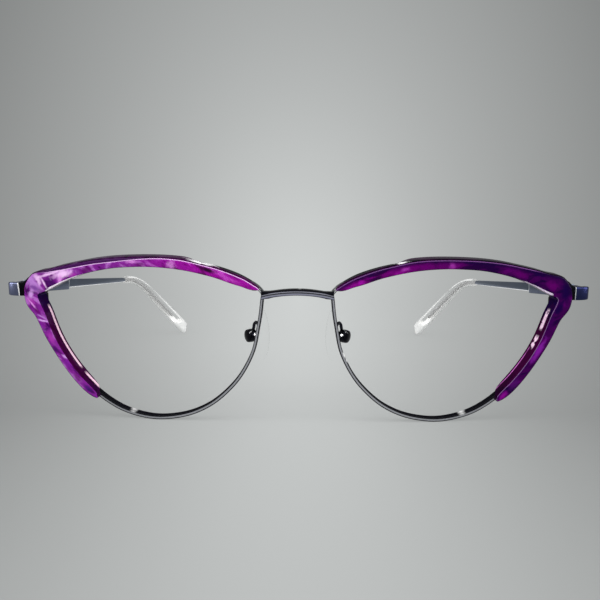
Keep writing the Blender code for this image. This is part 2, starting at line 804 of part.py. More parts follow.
def build_slider(name, side, axis):
    """The middle eye on a shank, with a rod through the coil and a head behind it."""
    half = SHANK_WIDTH / 2
    eye = prism(disc_outline(KNUCKLE_RADIUS), -TONGUE, TONGUE)
    slider = add_piece(name, mirrored(eye, side), "steel", axis)
    tall = min(TONGUE, half)
    low = (BORE_SIDE - half, KNUCKLE_RADIUS / 2, -tall)
    shank = box_mesh(low, (BORE_SIDE + half, SHANK_END, tall))
    tail_start, tail_end = SHANK_END - half, ROD_END + ROD_HEAD / 2
    tail = rod((BORE_SIDE, tail_start, 0), (BORE_SIDE, tail_end, 0), ROD_RADIUS, 12)
    head_end = ROD_END + ROD_HEAD
    head = rod((BORE_SIDE, ROD_END, 0), (BORE_SIDE, head_end, 0), ROD_HEAD_RADIUS, 16)
    combine(slider, [mirrored(mesh, side) for mesh in (shank, tail, head)], "UNION")
    reach = TONGUE + CUT_OVERRUN
    bore = rod((0, 0, -reach), (0, 0, reach), HINGE_SCREW_RADIUS + RUNNING_GAP)
    combine(slider, [bore], "DIFFERENCE")
    return slider


def build_spring_box(name, side, axis):
    low = (BOX_INNER, BOX_START, -BOX_HEIGHT / 2)
    high = (BOX_OUTER, BOX_START + BOX_LENGTH, BOX_HEIGHT / 2)
    spring_box = add_piece(name, mirrored(box_mesh(low, high), side), "temple", axis)
    add_bevel(spring_box, BOX_EDGE_ROUND)
    front_bore = rod(
        (BORE_SIDE, BOX_START - CUT_OVERRUN, 0), (BORE_SIDE, COLLAR_START, 0), BOX_BORE_RADIUS
    )
    collar_bore = rod(
        (BORE_SIDE, COLLAR_START - SEAT_GAP, 0),
        (BORE_SIDE, COIL_START + SEAT_GAP, 0),
        ROD_RADIUS + RUNNING_GAP,
        12,
    )
    back_start = COLLAR_START + COLLAR_THICKNESS
    back_bore = rod(
        (BORE_SIDE, back_start, 0),
        (BORE_SIDE, ROD_END + ROD_HEAD + SEAT_GAP, 0),
        BOX_BORE_RADIUS,
    )
    combine(
        spring_box,
        [mirrored(mesh, side) for mesh in (front_bore, collar_bore, back_bore)],
        "DIFFERENCE",
    )
    return spring_box


def build_coil(name, side, axis):
    """The return spring round the rod, between the collar and the rod's head."""
    start = COIL_START + COIL_WIRE_RADIUS
    length = ROD_END - RUNNING_GAP - COIL_WIRE_RADIUS - start
    points = []
    for k in range(COIL_TURNS * COIL_POINTS_PER_TURN + 1):
        turned = 2 * math.pi * k / COIL_POINTS_PER_TURN
        along = start + length * k / (COIL_TURNS * COIL_POINTS_PER_TURN)
        x = BORE_SIDE + COIL_RADIUS * math.cos(turned)
        points.append((side * x, along, COIL_RADIUS * math.sin(turned)))
    pitch = length / COIL_TURNS
    print(f"{name}: least gap between turns {(pitch - 2 * COIL_WIRE_RADIUS) * 1000:.2f} mm")
    coil = add_wire(name, points, COIL_WIRE_RADIUS, "steel", axis)
    coil.data.bevel_resolution = 1
    return coil


# Temples, drawn at the hinge

CORE_LENGTH = TIP_REACH - CORE_END_GAP - BLADE_LENGTH
TIP_BEND = TIP_REACH - TIP_HOOK_LENGTH


def temple_line(count, first, last):
    """Points x, y, z and tilt along the temple's middle, from y = first to y = last."""
    middle = (BLADE_IN + BLADE_OUT) / 2
    slope = TIP_DROP / (TIP_REACH - TIP_BEND)
    inward = TIP_INWARD / (TIP_REACH - TIP_BEND)
    line = []
    for y in np.linspace(first, last, count):
        # The corner at the bend is rounded by a parabola as long as the bend radius
        past = y - TIP_BEND
        if past <= -TIP_BEND_RADIUS:
            passed, rate = 0.0, 0.0
        elif past < TIP_BEND_RADIUS:
            passed = (past + TIP_BEND_RADIUS) ** 2 / (4 * TIP_BEND_RADIUS)
            rate = (past + TIP_BEND_RADIUS) / (2 * TIP_BEND_RADIUS)
        else:
            passed, rate = past, 1.0
        line.append((middle - inward * passed, y, -slope * passed, slope * rate, inward * rate))
    return line


def temple_rings(line, sizes, side):
    """Rounded sections square to the line: sizes are thickness, height and edge round."""
    rings = []
    for (x, y, z, slope, inward), (thickness, height, turn) in zip(line, sizes):
        down = math.atan(slope)
        along = Vector((-inward, math.cos(down), -math.sin(down))).normalized()
        across = Vector((1.0, inward, 0.0)).normalized()
        up = across.cross(along)
        ring = []
        for a, b in round_section(thickness, height, turn):
            point = Vector((x, y, z)) + across * a + up * b
            ring.append(Vector((side * point.x, point.y, point.z)))
        rings.append(ring)
    return rings


def build_blade(name, side, axis):
    """A flat blade that tapers to the core wire inside the tip."""
    end = BLADE_LENGTH + CORE_LENGTH
    taper = TIP_FRONT_HEIGHT
    lines = temple_line(18, BLADE_START, BLADE_LENGTH)
    lines += temple_line(20, BLADE_LENGTH + taper, end)
    sizes = []
    for x, y, z, slope, inward in lines:
        if y <= BLADE_LENGTH:
            share = (y - BLADE_START) / (BLADE_LENGTH - BLADE_START)
            height = mix(BLADE_FRONT_HEIGHT, BLADE_BACK_HEIGHT, share)
            sizes.append((BLADE_THICKNESS, height, BLADE_EDGE_ROUND))
        else:
            share = (y - BLADE_LENGTH) / CORE_LENGTH
            height = mix(CORE_HEIGHT, CORE_HEIGHT * 0.8, share)
            width = mix(CORE_WIDTH, CORE_WIDTH * 0.8, share)
            sizes.append((width, height, BLADE_EDGE_ROUND))
    return add_piece(name, loft(temple_rings(lines, sizes, side)), "temple", axis)


def build_tip(name, side, axis):
    """A clear sleeve, open at the front for the core wire and closed at the back."""
    start = BLADE_LENGTH + TIP_FRONT_HEIGHT + SEAT_GAP
    bore_end = BLADE_LENGTH + CORE_LENGTH + SEAT_GAP
    inner_line = temple_line(16, start, bore_end)
    inner_sizes = []
    for x, y, z, slope, inward in inner_line:
        share = (y - BLADE_LENGTH) / CORE_LENGTH
        width = mix(CORE_WIDTH, CORE_WIDTH * 0.8, share) + 2 * SEAT_GAP
        height = mix(CORE_HEIGHT, CORE_HEIGHT * 0.8, share) + 2 * SEAT_GAP
        inner_sizes.append((width, height, BLADE_EDGE_ROUND + SEAT_GAP))
    end_turn = TIP_THICKNESS / 2
    outer_line = temple_line(TIP_STATIONS, start, TIP_REACH - end_turn)
    outer_sizes = []
    for x, y, z, slope, inward in outer_line:
        share = (y - start) / (TIP_REACH - start)
        grown = share * share * (3 - 2 * share)
        height = mix(TIP_FRONT_HEIGHT, TIP_BACK_HEIGHT, grown)
        outer_sizes.append((TIP_THICKNESS, height, TIP_THICKNESS * 0.4))
    for share in (0.35, 0.62, 0.82, 0.95):
        y = TIP_REACH - end_turn + end_turn * share
        outer_line += temple_line(1, y, y)
        left = math.sqrt(1.0 - share * share)
        height = TIP_BACK_HEIGHT - 2 * end_turn * (1 - left)
        outer_sizes.append((TIP_THICKNESS * left, height, TIP_THICKNESS * left * 0.4))
    inner = temple_rings(inner_line, inner_sizes, side)
    outer = temple_rings(outer_line, outer_sizes, side)
    return add_piece(name, loft([*reversed(inner), *outer]), "clear", axis)


# Nose pads


def pad_frame(side):
    """Axes at the pad box: x along the pad's width, y towards the pad and z up."""
    place = bend_front(PAD_BOX_SIDE, PAD_BOX_LEVEL, PAD_BOX_SETBACK, side)
    forward = Vector((-side * math.cos(PAD_SPLAY_ANGLE), math.sin(PAD_SPLAY_ANGLE), 0.0))
    up = Vector((0.0, 0.0, 1.0))
    across = forward.cross(up)
    turn = Matrix((across, forward, up)).transposed().to_4x4()
    return Matrix.Translation(place) @ turn


def build_pad_arm(name, side, root):
    seat_level = PAD_ARM_LEVEL
    first = len(TRIM_ROW_SHARES) + 2
    falling = np.linspace(first, first + 6.0, 400)
    points = spline(OUTLINE, falling, True)
    seat_side = float(np.interp(-seat_level, -points[:, 1], points[:, 0]))
    seat_depth = TRIM_DEPTH + SEAT_GAP
    along = PAD_BOX_LENGTH / 2 - PAD_ARM_RADIUS
    top_side = PAD_BOX_SIDE - along * math.cos(PAD_SPLAY_ANGLE)
    top_depth = PAD_BOX_SETBACK + along * math.sin(PAD_SPLAY_ANGLE)
    top_level = PAD_BOX_LEVEL + PAD_BOX_RADIUS + SEAT_GAP
    span = (top_side - seat_side, top_level - seat_level, top_depth - seat_depth)
    rows = []
    for side_share, level_share, depth_share in PAD_ARM_ROW_SHARES:
        rows.append(
            (
                seat_side + side_share * span[0],
                seat_level + level_share * span[1],
                seat_depth + depth_share * span[2],
            )
        )
    places = np.linspace(0.0, len(rows) - 1.0, 19)
    line = [bend_front(s, t, d, side) for s, t, d in spline(rows, places, False)]
    return add_wire(name, line, PAD_ARM_RADIUS, "gunmetal", root)


SCREW_ALONG = PAD_BOX_LENGTH / 2 - PAD_CUP_RADIUS / 2


def build_pad_box(name, side, root):
    half = PAD_BOX_LENGTH / 2
    can = rod((0, -half, 0), (0, half, 0), PAD_BOX_RADIUS, 24)
    pad_box = add_piece(name, can, "gunmetal", root)
    pad_box.matrix_local = pad_frame(side)
    cup = rod((0, PAD_BOX_FLOOR - half, 0), (0, half + CUT_OVERRUN, 0), PAD_CUP_RADIUS, 24)
    reach = PAD_BOX_RADIUS + CUT_OVERRUN
    bore = PAD_SCREW_RADIUS + RUNNING_GAP
    hole = rod((-reach, SCREW_ALONG, 0), (reach, SCREW_ALONG, 0), bore, 12)
    combine(pad_box, [cup, hole], "DIFFERENCE")
    return pad_box


def build_pad_screw(name, side, root):
    out = PAD_BOX_RADIUS + RUNNING_GAP
    first, last = out + PAD_SCREW_HEAD / 2, -PAD_BOX_RADIUS
    shaft = rod((first, SCREW_ALONG, 0), (last, SCREW_ALONG, 0), PAD_SCREW_RADIUS, 12)
    screw = add_piece(name, shaft, "steel", root)
    screw.matrix_local = pad_frame(side)
    seat = Vector((out, SCREW_ALONG, 0))
    head = screw_head(seat, Vector((1, 0, 0)), PAD_SCREW_HEAD_RADIUS, PAD_SCREW_HEAD)
    combine(screw, [head], "UNION")
    return screw


def build_nose_pad(name, side, root):
    """A soft oval pad with a stem that the screw holds in the pad box."""
    axis = add_empty(f"{name}_axis", root)
    axis.matrix_local = pad_frame(side) @ Matrix.Translation((0, SCREW_ALONG, 0))
    bm = bmesh.new()
    size = Matrix.Diagonal((PAD_WIDTH / 2, PAD_THICKNESS / 2, PAD_LENGTH / 2, 1.0))
    place = Matrix.Translation((0, PAD_STANDOFF - SCREW_ALONG, 0))
    bmesh.ops.create_uvsphere(bm, u_segments=20, v_segments=12, radius=1.0, matrix=place @ size)
    pad = add_piece(name, finish_mesh(bm), "clear", axis)
    stem_radius = PAD_CUP_RADIUS - SEAT_GAP
    floor = PAD_BOX_FLOOR - PAD_BOX_LENGTH / 2 + SEAT_GAP - SCREW_ALONG
    stem = rod((0, floor, 0), (0, PAD_STANDOFF - SCREW_ALONG, 0), stem_radius, 16)
    combine(pad, [stem], "UNION")
    reach = stem_radius + CUT_OVERRUN
    hole = rod((-reach, 0, 0), (reach, 0, 0), PAD_SCREW_RADIUS + RUNNING_GAP, 12)
    combine(pad, [hole], "DIFFERENCE")
    return pad


# The whole frame

SIDES = (("right", -1), ("left", 1))


def build_frame():
    root = add_empty("frame_root")
    build_bridge(root)
    tips, rims = [], []
    for prefix, side in SIDES:
        rims.append(build_eyewire(f"{prefix}_eyewire", side, root))
        build_trim(f"{prefix}_brow_trim", side, root)
        build_closing_blocks(prefix, side, root)
        build_lug(f"{prefix}_lug", side, root)
        axis = add_empty(f"{prefix}_hinge_axis", root)
        axis.matrix_local = hinge_frame(side)
        build_front_knuckle(f"{prefix}_front_knuckle", side, axis)
        build_hinge_screw(f"{prefix}_hinge_screw", axis)
        build_slider(f"{prefix}_hinge_slider", side, axis)
        build_coil(f"{prefix}_hinge_spring", side, axis)
        build_spring_box(f"{prefix}_spring_box", side, axis)
        build_blade(f"{prefix}_temple_blade", side, axis)
        tips.append(build_tip(f"{prefix}_temple_tip", side, axis))
        build_pad_arm(f"{prefix}_pad_arm", side, root)
        build_pad_box(f"{prefix}_pad_box", side, root)
        build_pad_screw(f"{prefix}_pad_screw", side, root)
        build_nose_pad(f"{prefix}_nose_pad", side, root)
    return root, rims, tips


def corners_in_root(pieces, root):
    bpy.context.view_layer.update()
    inverse = root.matrix_world.inverted()
    found = []
    for piece in pieces:
        place = inverse @ piece.matrix_world
        found.extend(place @ vertex.co for vertex in piece.data.vertices)
    return np.array(found)


def stand_up(root, rims, tips):
    """Leans the frame until the rims and the tips stand on one plane, then sets the origin."""
    front, back = corners_in_root(rims, root), corners_in_root(tips, root)

    def lowest(points, lean):
        return (points[:, 1] * math.sin(lean) + points[:, 2] * math.cos(lean)).min()

    low, high = math.radians(-30), math.radians(40)
    for _ in range(60):
        lean = (low + high) / 2
        if lowest(back, lean) < lowest(front, lean):
            low = lean
        else:
            high = lean
    root.rotation_euler = Euler((lean, 0.0, 0.0))
    bpy.context.view_layer.update()
    graph = bpy.context.evaluated_depsgraph_get()
    points = []
    for piece in part_collection.objects:
        if piece.type == "EMPTY":
            continue
        evaluated = piece.evaluated_get(graph)
        mesh = evaluated.to_mesh()
        points.extend(evaluated.matrix_world @ vertex.co for vertex in mesh.vertices)
        evaluated.to_mesh_clear()
    points = np.array(points)
    least, most = points.min(axis=0), points.max(axis=0)
    root.location = (-(least[0] + most[0]) / 2, -(least[1] + most[1]) / 2, -least[2])
    print(f"frame root at {list(root.location)} m, leaned back {lean} rad")


stand_up(*build_frame())
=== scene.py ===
import json
import math

import bpy
from mathutils import Matrix, Vector
from mathutils.kdtree import KDTree


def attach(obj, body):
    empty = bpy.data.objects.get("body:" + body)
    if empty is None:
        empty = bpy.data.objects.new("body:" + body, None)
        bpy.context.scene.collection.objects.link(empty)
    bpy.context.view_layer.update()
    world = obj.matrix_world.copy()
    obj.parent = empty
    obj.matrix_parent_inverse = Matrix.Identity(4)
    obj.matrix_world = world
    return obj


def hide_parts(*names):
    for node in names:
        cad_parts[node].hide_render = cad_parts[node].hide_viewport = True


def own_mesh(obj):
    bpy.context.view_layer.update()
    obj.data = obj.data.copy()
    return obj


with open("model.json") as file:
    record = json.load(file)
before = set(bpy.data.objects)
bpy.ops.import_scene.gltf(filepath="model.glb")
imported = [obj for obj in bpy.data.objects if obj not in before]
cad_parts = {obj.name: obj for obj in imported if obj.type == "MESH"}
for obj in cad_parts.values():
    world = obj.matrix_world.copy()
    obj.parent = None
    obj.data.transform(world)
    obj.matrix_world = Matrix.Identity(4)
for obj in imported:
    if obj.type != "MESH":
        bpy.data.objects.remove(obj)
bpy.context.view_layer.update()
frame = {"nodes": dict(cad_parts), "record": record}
cadNodes = frame["nodes"]
bodyOfNode = {}
for bodyName, nodeNames in frame["record"]["behaviour"]["bodies"].items():
    for nodeName in nodeNames:
        bodyOfNode[nodeName] = bodyName
sides = ("right", "left")  # the wearer's right is on the picture's left
outward = {"right": -1, "left": 1}  # along X
print("frame loaded:", len(cadNodes), "nodes")


# node helpers: an input takes a value, or a link where it is given another node's output

def fillInput(node, key, value):
    if isinstance(value, bpy.types.NodeSocket):
        node.id_data.links.new(value, node.inputs[key])
    else:
        node.inputs[key].default_value = value


def setInputs(node, **values):
    for name, value in values.items():
        fillInput(node, name.replace("_", " "), value)


def addNode(tree, kind, **settings):
    # nodes stand in rows of ten, in the order in which they are made
    row, column = divmod(len(tree.nodes), 10)
    node = tree.nodes.new(kind)
    node.location = (200 * column, -350 * row)
    for name, value in settings.items():
        setattr(node, name, value)
    return node


def calculate(tree, operation, *values):
    node = addNode(tree, "ShaderNodeMath", operation=operation)
    for number, value in enumerate(values):
        fillInput(node, number, value)
    return node.outputs[0]


def calculateVector(tree, operation, *values):
    node = addNode(tree, "ShaderNodeVectorMath", operation=operation)
    for number, value in enumerate(values):
        fillInput(node, number, value)
    return node.outputs["Value" if operation in ("LENGTH", "DOT_PRODUCT") else "Vector"]


def brightened(tree, colour, share):
    node = addNode(tree, "ShaderNodeVectorMath", operation="SCALE")
    fillInput(node, 0, colour)
    fillInput(node, "Scale", share)
    return node.outputs["Vector"]


def rotated(tree, vector, axis, angle):
    node = addNode(tree, "ShaderNodeVectorRotate", rotation_type=axis)
    setInputs(node, Vector=vector, Angle=angle)
    return node.outputs[0]


def noise(tree, vector, **values):
    node = addNode(tree, "ShaderNodeTexNoise")
    setInputs(node, Vector=vector, **values)
    return node.outputs["Fac"]


def mapRange(tree, value, first, last, low=0.0, high=1.0, kind="LINEAR"):
    node = addNode(tree, "ShaderNodeMapRange", interpolation_type=kind)
    setInputs(node, Value=value, From_Min=first, From_Max=last, To_Min=low, To_Max=high)
    return node.outputs["Result"]


def smoothStep(tree, value, first, last):
    return mapRange(tree, value, first, last, kind="SMOOTHSTEP")


def product(tree, values):
    result = values[0]
    for value in values[1:]:
        result = calculate(tree, "MULTIPLY", result, value)
    return result


def mix(tree, share, first, second, kind="RGBA"):
    node = addNode(tree, "ShaderNodeMix", data_type=kind)
    start, result = (6, 2) if kind == "RGBA" else (2, 0)
    fillInput(node, 0, share)
    fillInput(node, start, first)
    fillInput(node, start + 1, second)
    return node.outputs[result]


def readAttribute(tree, name):
    return addNode(tree, "ShaderNodeAttribute", attribute_name=name).outputs["Fac"]


def colourRamp(tree, value, stops):
    ramp = addNode(tree, "ShaderNodeValToRGB")
    elements = ramp.color_ramp.elements
    while len(elements) < len(stops):
        elements.new(0.5)
    for stop, (position, colour) in zip(elements, stops):
        stop.position = position
        stop.color = colour
    setInputs(ramp, Fac=value)
    return ramp.outputs["Color"]


def newMaterial(name):
    material = bpy.data.materials.new(name)
    material.use_nodes = True
    tree = material.node_tree
    tree.nodes.clear()
    output = addNode(tree, "ShaderNodeOutputMaterial")
    shader = addNode(tree, "ShaderNodeBsdfPrincipled")
    setInputs(output, Surface=shader.outputs["BSDF"])
    point = addNode(tree, "ShaderNodeTexCoord").outputs["Object"]
    return material, shader, point


def newGroup(name, inputs, outputs):
    group = bpy.data.node_groups.new(name, "ShaderNodeTree")
    for label, kind, value in inputs:
        socket = group.interface.new_socket(name=label, in_out="INPUT", socket_type="NodeSocket" + kind)
        if value is not None:
            socket.default_value = value
    for label, kind in outputs:
        group.interface.new_socket(name=label, in_out="OUTPUT", socket_type="NodeSocket" + kind)
    start = addNode(group, "NodeGroupInput")
    end = addNode(group, "NodeGroupOutput")
    return group, start.outputs, end


def placeGroup(tree, group, **values):
    node = addNode(tree, "ShaderNodeGroup", node_tree=group)
    setInputs(node, **values)
    return node


def scaled(colour, brightness=1.0):
    return (*[min(channel * brightness, 1.0) for channel in colour], 1.0)


# fine drawn grain and faint handling marks, for every metal and plastic
grainLook = {"markScale": 170.0, "worn": (0.35, 0.68), "middle": 0.5, "bumpDistance": 0.00001}


def makeFinishGrain():
    group, start, end = newGroup(
        "finishGrain",
        [("Vector", "Vector", None), ("Grain Scale", "Float", 3500.0), ("Smooth Roughness", "Float", 0.2),
         ("Worn Roughness", "Float", 0.35), ("Base Colour", "Color", (0.1, 0.1, 0.1, 1.0)),
         ("Shade Change", "Float", 0.15)],
        [("Colour", "Color"), ("Roughness", "Float"), ("Height", "Float")])
    grain = noise(group, start["Vector"], Scale=start["Grain Scale"], Detail=3.0, Roughness=0.6)
    marks = noise(group, start["Vector"], Scale=grainLook["markScale"], Detail=4.0, Roughness=0.55)
    worn = mapRange(group, marks, *grainLook["worn"])
    roughness = mix(group, worn, start["Smooth Roughness"], start["Worn Roughness"], "FLOAT")
    change = calculate(group, "SUBTRACT", grain, grainLook["middle"])
    strength = calculate(group, "MULTIPLY_ADD", change, start["Shade Change"], 1.0)
    shade = brightened(group, start["Base Colour"], strength)
    setInputs(end, Colour=shade, Roughness=roughness, Height=grain)
    return group


finishGrain = makeFinishGrain()


# a soft-edged streak of another colour, turned in the front's plane
streakFade = (1.4, 0.3)  # where it ends and where it is full, as shares of its reach


def makeStreak():
    group, start, end = newGroup(
        "colourStreak",
        [("Vector", "Vector", None), ("Under", "Color", None), ("Colour", "Color", (1.0, 0.5, 1.0, 1.0)),
         ("Centre", "Vector", None), ("Reach", "Vector", (0.001, 1.0, 0.001)), ("Turn", "Float", 0.0),
         ("Ragged", "Float", 1.0), ("Strength", "Float", 1.0)],
        [("Colour", "Color")])
    offset = calculateVector(group, "SUBTRACT", start["Vector"], start["Centre"])
    turned = rotated(group, offset, "Y_AXIS", start["Turn"])
    share = calculateVector(group, "DIVIDE", turned, start["Reach"])
    length = calculateVector(group, "LENGTH", share)
    uneven = calculate(group, "DIVIDE", length, start["Ragged"])
    soft = smoothStep(group, uneven, *streakFade)
    strength = calculate(group, "MULTIPLY", soft, start["Strength"])
    setInputs(end, Colour=mix(group, strength, start["Under"], start["Colour"]))
    return group


colourStreak = makeStreak()


def paintStreaks(tree, point, colour, streaks, ragged=1.0):
    for tone, across, level, turn, length, width, strength in streaks:
        streak = placeGroup(tree, colourStreak, Vector=point, Under=colour, Colour=tone,
                            Centre=(across, 0.0, level), Reach=(length, 1.0, width),
                            Turn=-math.radians(turn), Ragged=ragged, Strength=strength)
        colour = streak.outputs["Colour"]
    return colour


def grainedMaterial(name, look):
    material, shader, point = newMaterial(name)
    grain = placeGroup(material.node_tree, finishGrain, Vector=point,
                       Grain_Scale=look["grainScale"], Smooth_Roughness=look["roughness"],
                       Worn_Roughness=look["roughness"] + look["roughnessChange"],
                       Base_Colour=scaled(look["colour"]), Shade_Change=look["shadeChange"])
    setInputs(shader, Base_Color=grain.outputs["Colour"], Roughness=grain.outputs["Roughness"])
    return material, shader, point, grain


def metalMaterial(name, look, paintedGlints=(), under=None, over=None):
    # under makes the colour below the grain; the listed spots are painted highlights over the grain; over
    # changes the colour above them
    material, shader, point, grain = grainedMaterial(name, look)
    tree = material.node_tree
    if under:
        setInputs(grain, Base_Colour=under(tree, point))
    whites = [(scaled((1.0, 1.0, 1.0), bright), *shape, 1.0) for *shape, bright in paintedGlints]
    colour = paintStreaks(tree, point, grain.outputs["Colour"], whites)
    if over:
        colour = over(tree, colour)
    bump = addNode(tree, "ShaderNodeBump")
    setInputs(bump, Strength=look["bump"], Distance=grainLook["bumpDistance"], Height=grain.outputs["Height"])
    setInputs(shader, Base_Color=colour, Normal=bump.outputs["Normal"], Metallic=look["metallic"],
              Coat_Weight=look["coat"], Coat_Roughness=0.08, Specular_IOR_Level=look.get("specular", 0.5))
    return material


# painted highlights on the wires: across, level, turn, length, width, brightness
wirePaintedGlints = [(-0.0384, 0.0030, 25, 0.001, 0.0014, 1.0), (0.0387, 0.0030, -25, 0.001, 0.0014, 1.0),
              (-0.0199, 0.0371, 15, 0.0018, 0.0002, 1.0), (0.0222, 0.0375, -14, 0.001, 0.0002, 1.0),
              (-0.0086, 0.0316, 60, 0.0006, 0.0003, 0.8), (0.0086, 0.0318, -60, 0.0006, 0.0003, 0.8),
              (0.0107, 0.0165, 66, 0.0009, 0.00016, 0.9), (0.0115, 0.0151, 60, 0.0005, 0.00016, 0.8)]
# painted highlights on the pad boxes, in the same columns
padBoxPaintedGlints = [(-0.0098, 0.0206, 0, 0.0003, 0.0003, 1.0), (0.0104, 0.0206, 0, 0.0003, 0.0003, 1.0),
                (-0.0108, 0.0213, -40, 0.0006, 0.00012, 0.5), (0.0114, 0.0213, 40, 0.0006, 0.00012, 0.5)]
gunmetalLook = {"colour": (0.03, 0.03, 0.04), "roughness": 0.18, "roughnessChange": 0.08, "metallic": 1.0,
                "grainScale": 4200.0, "shadeChange": 0.3, "bump": 0.15, "coat": 0.0}
# painted shade: near-black for the wires' walls, the closing blocks and the lugs' inner parts, standing for
# shade and dark reflections
paintedShadeLook = {**gunmetalLook, "colour": (0.004, 0.004, 0.006), "roughness": 0.3, "roughnessChange": 0.1,
                "metallic": 0.0, "specular": 0.02}
# the wire's front: pale metal as a painted reflection of the lamps, with rims of painted shade
wireReflectionLook = {**gunmetalLook, "colour": (0.5, 0.5, 0.54), "roughness": 0.22, "roughnessChange": 0.12,
                "grainScale": 3000.0, "shadeChange": 0.6, "bump": 0.25, "rimColour": (0.012, 0.012, 0.016),
                "rims": (("belowTop", 0.00016, 0.00024), ("fromLens", 0.00004, 0.0001))}


def paintRimShade(tree, colour):
    # painted reflection and shade: the wire's front is pale between two dark rims
    for name, start, stop in wireReflectionLook["rims"]:
        share = smoothStep(tree, readAttribute(tree, name), stop, start)
        colour = mix(tree, share, colour, scaled(wireReflectionLook["rimColour"]))
    return colour


gunmetal = metalMaterial("gunmetal", gunmetalLook, wirePaintedGlints)
padBoxMetal = metalMaterial("padBoxMetal", {**gunmetalLook, "colour": (0.01, 0.01, 0.014)}, padBoxPaintedGlints)
paintedShadeMetal = metalMaterial("gunmetalPaintedShade", paintedShadeLook, wirePaintedGlints)
wireReflection = metalMaterial("wireReflection", wireReflectionLook, wirePaintedGlints, over=paintRimShade)

templeLook = {"colour": (0.17, 0.2, 0.27), "roughness": 0.26, "roughnessChange": 0.12, "metallic": 1.0,
              "grainScale": 5200.0, "shadeChange": 0.25, "bump": 0.2, "coat": 0.1}
lugLook = {**templeLook, "colour": (0.2, 0.22, 0.36), "roughness": 0.24}
# near-white and gray metal for painted highlights: the lugs' ridges, the blades' lower edges and the spring
# boxes' rear rims
highlightEdgeLook = {**templeLook, "colour": (0.95, 0.95, 0.97), "roughness": 0.3, "roughnessChange": 0.1,
                "metallic": 0.3, "shadeChange": 0.2, "bump": 0.1, "coat": 0.0}
screwLook = {**templeLook, "colour": (0.42, 0.42, 0.44), "roughness": 0.22, "roughnessChange": 0.1,
             "grainScale": 6000.0, "shadeChange": 0.2, "coat": 0.0}
templeMetal = metalMaterial("blueGrayMetal", templeLook)
springBoxMetal = metalMaterial("springBoxMetal", {**templeLook, "colour": (0.11, 0.13, 0.2)})
coreMetal = metalMaterial("coreMetal", {**templeLook, "colour": (0.4, 0.4, 0.4), "metallic": 0.0})
# both lugs are the same metal; the left one's darker blue is painted shade
lugMetal = {"right": metalMaterial("rightLugMetal", lugLook),
            "left": metalMaterial("leftLugMetal", {**lugLook, "colour": (0.035, 0.042, 0.14)})}
highlightEdge = metalMaterial("highlightEdge", highlightEdgeLook)
softHighlightEdge = metalMaterial("softHighlightEdge", {**highlightEdgeLook, "colour": (0.5, 0.53, 0.56)})
ridgeHighlight = {"right": highlightEdge, "left": softHighlightEdge}
screwSteel = metalMaterial("screwSteel", screwLook)
print("metals made")


# marbled acetate: swirled clouds of three colours
marblingLook = {"fineScale": 620.0, "fineShare": 0.12, "deepToMiddle": (0.38, 0.49),
                "middleToBright": (0.51, 0.64)}


def makeMarbling():
    group, start, end = newGroup(
        "acetateMarbling",
        [("Vector", "Vector", None), ("Cloud Scale", "Float", 90.0), ("Swirl", "Float", 1.5),
         ("Deep Colour", "Color", (0.05, 0.0, 0.08, 1.0)), ("Middle Colour", "Color", (0.3, 0.0, 0.3, 1.0)),
         ("Bright Colour", "Color", (0.6, 0.1, 0.6, 1.0))],
        [("Colour", "Color")])
    cloud = noise(group, start["Vector"], Scale=start["Cloud Scale"], Detail=3.0, Roughness=0.5,
                  Distortion=start["Swirl"])
    fine = noise(group, start["Vector"], Scale=marblingLook["fineScale"], Detail=3.0, Roughness=0.6,
                 Distortion=1.0)
    both = mix(group, marblingLook["fineShare"], cloud, fine, "FLOAT")
    lower = smoothStep(group, both, *marblingLook["deepToMiddle"])
    upper = smoothStep(group, both, *marblingLook["middleToBright"])
    colour = mix(group, lower, start["Deep Colour"], start["Middle Colour"])
    setInputs(end, Colour=mix(group, upper, colour, start["Bright Colour"]))
    return group


acetateMarbling = makeMarbling()


# where a point lies on the front: outwards from the nose, up, and back from the trims' faces
frontLook = {"root": (0.0, -0.06586, -0.0004), "lean": 0.106, "wrapRadius": 0.265}


def makeFrontPlace():
    group, start, end = newGroup("placeOnFront", [("Vector", "Vector", None)],
                                 [("Outward", "Float"), ("Level", "Float"), ("Depth", "Float")])
    offset = calculateVector(group, "SUBTRACT", start["Vector"], frontLook["root"])
    parts = addNode(group, "ShaderNodeSeparateXYZ")
    setInputs(parts, Vector=rotated(group, offset, "X_AXIS", -frontLook["lean"]))
    across, back, level = parts.outputs["X"], parts.outputs["Y"], parts.outputs["Z"]
    square = calculate(group, "MULTIPLY", across, across)
    depth = calculate(group, "MULTIPLY_ADD", square, -0.5 / frontLook["wrapRadius"], back)
    setInputs(end, Outward=calculate(group, "ABSOLUTE", across), Level=level, Depth=depth)
    return group


placeOnFront = makeFrontPlace()


# the bridge, painted light and shade that follow its arch: a blue-gray lower half lit above a dark underside,
# a fine dark line of painted shade, a pale highlight line, a black upper edge of painted shade, and a painted
# glint on top
bridgeLook = {"level": 0.03065, "arch": 0.00082, "reach": 0.0076, "half": 0.0009,
              "glint": (0.0005, 0.0321, 0, 0.0005, 0.0003, 1.0),
              "bands": ((0.0, (0.02, 0.02, 0.03)), (0.16, (0.03, 0.03, 0.05)), (0.24, (0.38, 0.38, 0.5)),
                        (0.4, (0.4, 0.4, 0.5)), (0.46, (0.01, 0.01, 0.015)), (0.53, (0.01, 0.01, 0.015)),
                        (0.58, (0.42, 0.42, 0.5)), (0.64, (0.4, 0.4, 0.48)), (0.7, (0.006, 0.006, 0.008)),
                        (1.0, (0.004, 0.004, 0.006)))}


